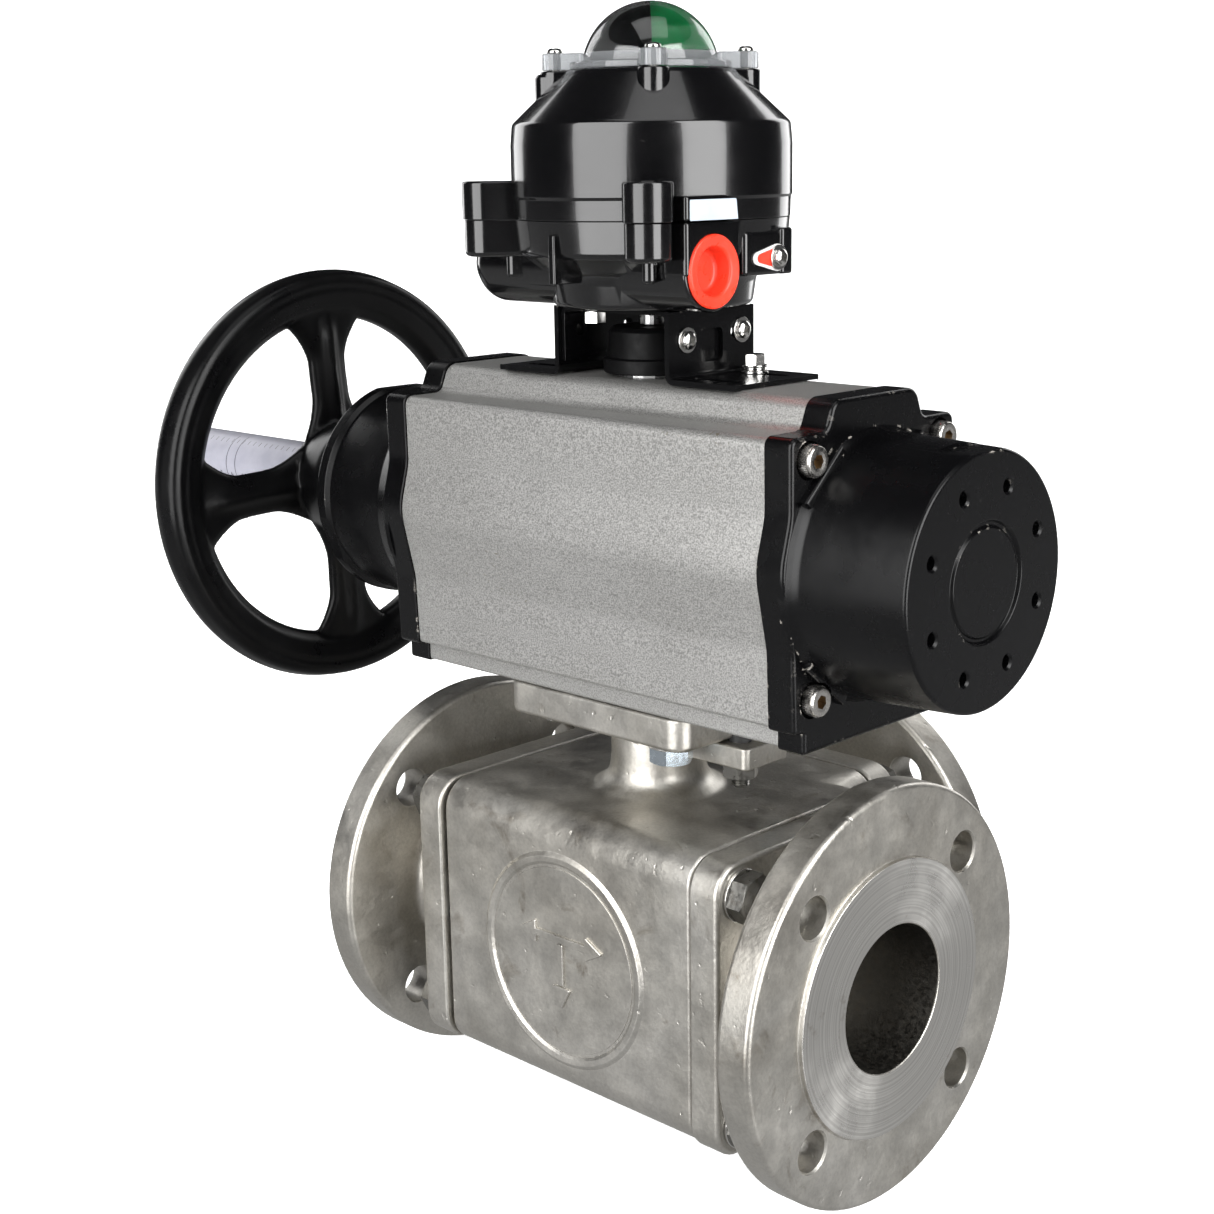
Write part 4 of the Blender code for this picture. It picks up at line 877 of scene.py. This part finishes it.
def conduit_box(name, low, high):
    return block(name, (18, -42, low), (BOSS_FACE, -9, high), HERE, 1.8)


def housing():
    rim = PARTING - 0.15
    shell = lathe("switch_housing", [(0, 284.6), (43, 284.6, 3), (45, 298, 8), (57.6, 307, 4),
                                     (59, rim), (0, rim)],
                  HERE, 128)
    parts = []
    for angle in BOX_LUGS:
        parts.append(slab("lug", capsule(48, 71, 8.6, angle, tip=9.6), 306, rim, HERE, 2.2, 0.3, 4))
        parts.append(slab("web", capsule(44, 60, 3.0, angle), 297, 318, HERE, 1.5, 0))
    along = place((1, 0, 0), UP, (0, -25.5, 301.5))
    mouth = (15.2, 40, 62, along, 72)
    barrel = [(0, -76), (9, -76, 7), (16.5, -66, 12), (16.5, BOSS_FACE - 1.0, 1.2), (0, BOSS_FACE - 1.0)]
    parts.append(cut(lathe("conduit", barrel, along, 96), rod(*mouth)))
    parts.append(cut(conduit_box("boss", 300, rim), rod(*mouth)))
    cut(shell, rod(*mouth))
    parts.append(block("rib", (-2, -60.5, 296), (1.5, -40, 316), HERE, 0.8))
    parts.append(block("step", (36, -45, 304), (44, -36, rim), HERE, 1.2))
    parts.append(block("earth_boss", (40, -8, 298.5), (59.2, 21.8, 316.5), HERE, 2.4))
    parts.append(block("earth_lip", (50, 14.5, 298.5), (60.4, 21.8, 317.5), HERE, 1.6))
    combine(shell, parts)
    show(shell, GLOSS, ROOT, "box_housing", 30)
    face = BOSS_FACE - 1.0
    plug = [(0, face - 6), (8.4, face - 6, 2.0), (10.0, face + 1.2, 1.6), (14.9, face + 2.2, 0.9),
            (15.0, face, 0.5), (11.3, face, 0.5), (11.3, face - 14, 1), (0, face - 14)]
    show(lathe("plug_red", plug, along, 96), RED, ROOT, "conduit_plug")


def cover():
    rim = PARTING + 0.15
    shell = lathe("switch_cover", [(0, COVER_TOP), (36, COVER_TOP, 0.8), (38, COVER_TOP - 1.6, 1),
                                   (59.2, 360.6, 3),
                                   (60, 352), (60, 331, 0.8), (59.4, 329.8, 0.6), (59.2, rim, 0.3), (0, rim)],
                  HERE, 160)
    parts = []
    for angle in DIAGONALS:
        parts.append(slab("boss", capsule(30, 40, 6.6, angle), 355, COVER_TOP + 0.15, HERE, 0, 0.9, 4))
    parts.append(slab("fin", capsule(30, 43.5, 5.4, DIAGONALS[2]), 358, COVER_TOP - 1.0, HERE, 0, 2.2, 4))
    for angle in BOX_LUGS:
        parts.append(slab("lug", capsule(54, 71, 7.2, angle, tip=10.3), rim, 337.5, HERE, 0.3, 1.2, 4))
    parts.append(conduit_box("boss_top", rim, 331.6))
    parts.append(block("step", (36, -45, rim), (44, -36, 330.0), HERE, 1.2))
    combine(shell, parts)
    for angle in BOX_LUGS:
        cut(shell, hole(7.4, 328, 337.5, HERE, polar(71, angle), 0.5, 40))
    for angle in DIAGONALS:
        cut(shell, hole(2.4, 365, COVER_TOP + 0.15, HERE, polar(40, angle), 0, 24))
    cut(shell, lathe("window", [(0, 374), (28, 374), (28, 390), (0, 390)], HERE, 80))
    show(shell, GLOSS, ROOT, "box_cover", 30)
    for index, angle in enumerate(BOX_LUGS):
        socket_screw("cover_screw_" + str(index + 1), moved(HERE, (*polar(71, angle), 0)), 4.6, 328.2,
                     333.6, (), BOLT)
    label = slab("size_label", rectangle(15.2, 4.1, 0.5, 3), BOSS_FACE + 0.02, BOSS_FACE + 0.2,
                 moved(place((1, 0, 0), UP), (-24.6, 326.0, 0)), 0)
    show(label, LABEL, ROOT, ())
    tag_where = moved(place((1, 0, 0), UP), (12.1, 305.5, 0))
    tag = [(5.6 * math.cos(t), 5.6 * math.sin(t)) for t in
           [math.radians(-105 + 210 * step / 16) for step in range(17)]]
    tag += [(2.6 * math.cos(t) - 12.6, 2.6 * math.sin(t)) for t in
            [math.radians(100 + 160 * step / 8) for step in range(9)]]
    show(slab("earth_tag", tag, 59.3, 60.0, tag_where, 0.15), TAG_WHITE, ROOT, ())
    inner = [(x * 0.80 - 0.8, y * 0.74) for x, y in tag]
    show(slab("earth_tag_red", inner, 60.02, 60.2, tag_where, 0.05), RED, ROOT, ())
    pan_screw("earth_screw", tag_where, 3.7, 61.2)


def dome():
    """Clear dome with a flange and four ears, over a black mask and the turning indicator."""
    base = COVER_TOP + 0.5
    wall = []
    for radius, turns in ((29.3, range(5, 91, 5)), (27.3, range(90, 2, -5))):
        for turn in turns:
            angle = math.radians(turn)
            wall.append((radius * math.cos(angle) if turn < 90 else 0,
                         DOME_CENTRE + radius * math.sin(angle)))
    flange = [(27.1, base), (34.5, base, 0.4), (34.5, base + 3.0, 0.8), (30.4, base + 3.2, 0.5)]
    part = lathe("dome_clear", flange + [(*point, 0) for point in wall], HERE, 128)
    ears = []
    for angle in DIAGONALS:
        ear = slab("ear", capsule(31, 40, 5.8, angle), base, base + 6.8, HERE, 0.3, 0.7)
        ears.append(cut(ear, rod(28.6, 370, 400, HERE, 96)))
    combine(part, ears)
    for angle in DIAGONALS:
        cut(part, rod(2.6, 380, 395, moved(HERE, (*polar(DOME_SCREWS_AT, angle), 0)), 32))
    show(part, CLEAR, ROOT, "dome", 30)
    for index, angle in enumerate(DIAGONALS):
        spot = moved(HERE, (*polar(DOME_SCREWS_AT, angle), 0))
        body = [(0, base - 8), (2.0, base - 8), (2.0, base + 7.0), (0, base + 7.0)]
        show(lathe("dome_stud_" + str(index + 1), body, spot, 24), BOLT, ROOT, ())
        pan_screw("dome_screw_" + str(index + 1), spot, 3.4, base + 6.9, False)
    mask("dome_mask_front", math.radians(-136), math.radians(-46))
    mask("dome_mask_back", math.radians(44), math.radians(134))
    drum = [(0, DOME_CENTRE), (24.6, DOME_CENTRE, 1), (24.4, 390, 4), (19.0, 398.5, 5), (9, 402.0, 4),
            (0, 402.4)]
    show(lathe("indicator_drum", drum, HERE, 96), QUADRANTS, TRAIN, "indicator")


def mask(name, start, stop):
    """A black quarter shell just inside the clear dome."""
    rows = []
    across = 20
    for radius in (27.0, 26.5):
        for step in range(19):
            lift = math.radians(1 + 86.5 * step / 18)
            row = []
            for index in range(across + 1):
                angle = start + (stop - start) * index / across
                row.append((radius * math.cos(lift) * math.cos(angle),
                            radius * math.cos(lift) * math.sin(angle), DOME_CENTRE + radius * math.sin(lift)))
            rows.append(row)
    outer, inner = rows[:19], rows[19:]
    rings = [a + list(reversed(b)) for a, b in zip(outer, inner)]
    show(loft(name, rings, HERE), MASK, ROOT, (), 40)


# ---------------------------------------------------------------- what stays from the CAD

def keep_nodes():
    finishes = {GEAR: ["pinion", "override_nut", "spindle", "switch_shaft", "stem", "gland_nut"],
                PISTON: ["piston_left", "piston_right"],
                SEAL: ["gasket_right", "gasket_left", "gasket_rear", "piston_left_seal", "piston_right_seal"],
                PTFE: ["seat_right", "seat_left", "seat_rear", "stem_packing", "pinion_bearing_top",
                       "pinion_bearing_bottom", "cam_lower", "cam_upper"],
                SWITCH: ["switch_lower", "switch_upper", "terminal_strip"]}
    for material, nodes in finishes.items():
        for name in nodes:
            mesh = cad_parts[name].data
            mesh.materials.clear()
            mesh.materials.append(material)
            mesh.shade_smooth()
            mesh.set_sharp_from_angle(angle=math.radians(30))


# ---------------------------------------------------------------- studio

CAMERA_AT = Vector((584.41, -618.43, 348.08))
CAMERA_AZIMUTH = math.radians(43.87)
CAMERA_ELEVATION = math.radians(13.67)
CAMERA_ROLL = math.radians(-0.78)


def camera():
    data = bpy.data.cameras.new("camera")
    data.sensor_width = 36
    data.lens = 57.49
    data.shift_x = -0.02786
    data.shift_y = 0.0149
    data.clip_end = 50
    back = Vector((math.sin(CAMERA_AZIMUTH) * math.cos(CAMERA_ELEVATION),
                   -math.cos(CAMERA_AZIMUTH) * math.cos(CAMERA_ELEVATION), math.sin(CAMERA_ELEVATION)))
    level = Vector((math.cos(CAMERA_AZIMUTH), math.sin(CAMERA_AZIMUTH), 0))
    above = back.cross(level)
    right = level * math.cos(CAMERA_ROLL) + above * math.sin(CAMERA_ROLL)
    up = above * math.cos(CAMERA_ROLL) - level * math.sin(CAMERA_ROLL)
    obj = bpy.data.objects.new("camera", data)
    bpy.context.scene.collection.objects.link(obj)
    turn = Matrix((right, up, back)).transposed().to_4x4()
    obj.matrix_world = Matrix.Translation(CROSSING + CAMERA_AT * MM) @ turn
    bpy.context.scene.camera = obj


def floor():
    """A round pale floor that rises into a pale wall, the same from every side."""
    profile = [(0.0, -0.0008), (4.2, -0.0008), (6.0, -0.0008, 1.6), (6.0, 5.5)]
    line = fillet(profile, 14, False)
    rings = [[(*polar(radius, TURN * index / 96), height) for index in range(96)] for radius, height in line]
    obj = loft("floor", rings, Matrix.Identity(4), caps=False)
    f = Finish("floor_pale", (0.93, 0.93, 0.93), 0.0, 0.9)
    glow = f.node("ShaderNodeEmission", Color=(1, 1, 1), Strength=0.62)
    both = f.tree.nodes.new("ShaderNodeAddShader")
    f.feed(both.inputs[0], f.shader.outputs[0])
    f.feed(both.inputs[1], glow.outputs[0])
    f.feed(f.tree.nodes["Material Output"].inputs["Surface"], both.outputs[0])
    obj.data.materials.append(f.material)
    obj.data.shade_smooth()
    obj.visible_glossy = False


def softbox(name, azimuth, distance, height, width, tall, power):
    """A tall soft light that faces the object; azimuth is counted from the camera's."""
    angle = CAMERA_AZIMUTH + math.radians(azimuth)
    data = bpy.data.lights.new(name, "AREA")
    data.shape = "RECTANGLE"
    data.size = width
    data.size_y = tall
    data.energy = power
    obj = bpy.data.objects.new(name, data)
    bpy.context.scene.collection.objects.link(obj)
    spot = Vector((math.sin(angle) * distance, -math.cos(angle) * distance, height))
    obj.location = spot
    obj.rotation_mode = "QUATERNION"
    obj.rotation_quaternion = (spot - Vector((0, 0, 0.28))).to_track_quat("Z", "Y")


def lights():
    softbox("left_box", -40, 1.7, 0.72, 1.45, 2.0, 57)
    softbox("right_box", 42, 1.7, 0.72, 1.1, 2.0, 56)
    softbox("left_rim", -138, 1.9, 0.8, 0.8, 1.6, 12)
    softbox("right_rim", 138, 1.9, 0.8, 0.8, 1.6, 12)
    softbox("overhead", 12, 0.5, 2.3, 1.4, 1.4, 9)
    world = bpy.data.worlds.new("studio")
    world.use_nodes = True
    tree = world.node_tree
    ahead = tree.nodes.new("ShaderNodeTexCoord")
    parts = tree.nodes.new("ShaderNodeSeparateXYZ")
    shade = tree.nodes.new("ShaderNodeValToRGB")
    lift = tree.nodes.new("ShaderNodeMapRange")
    lift.inputs["From Min"].default_value = -1
    tree.links.new(ahead.outputs["Generated"], parts.inputs[0])
    tree.links.new(parts.outputs["Z"], lift.inputs["Value"])
    tree.links.new(lift.outputs[0], shade.inputs[0])
    tree.links.new(shade.outputs["Color"], tree.nodes["Background"].inputs[0])
    low, high = shade.color_ramp.elements
    low.position = 0.40
    low.color = (0.40, 0.40, 0.40, 1)
    high.position = 0.49
    high.color = (0.03, 0.03, 0.032, 1)
    bpy.context.scene.world = world
    bpy.context.scene.view_settings.view_transform = "Standard"


camera()
end_connector("right", 135)
end_connector("left", 135)
end_connector("rear", 140)
valve_body()
ball()
actuator()
end_cap("right")
end_cap("left")
handwheel()
scale()
bracket()
housing()
cover()
dome()
keep_nodes()
floor()
lights()

bpy.context.view_layer.update()
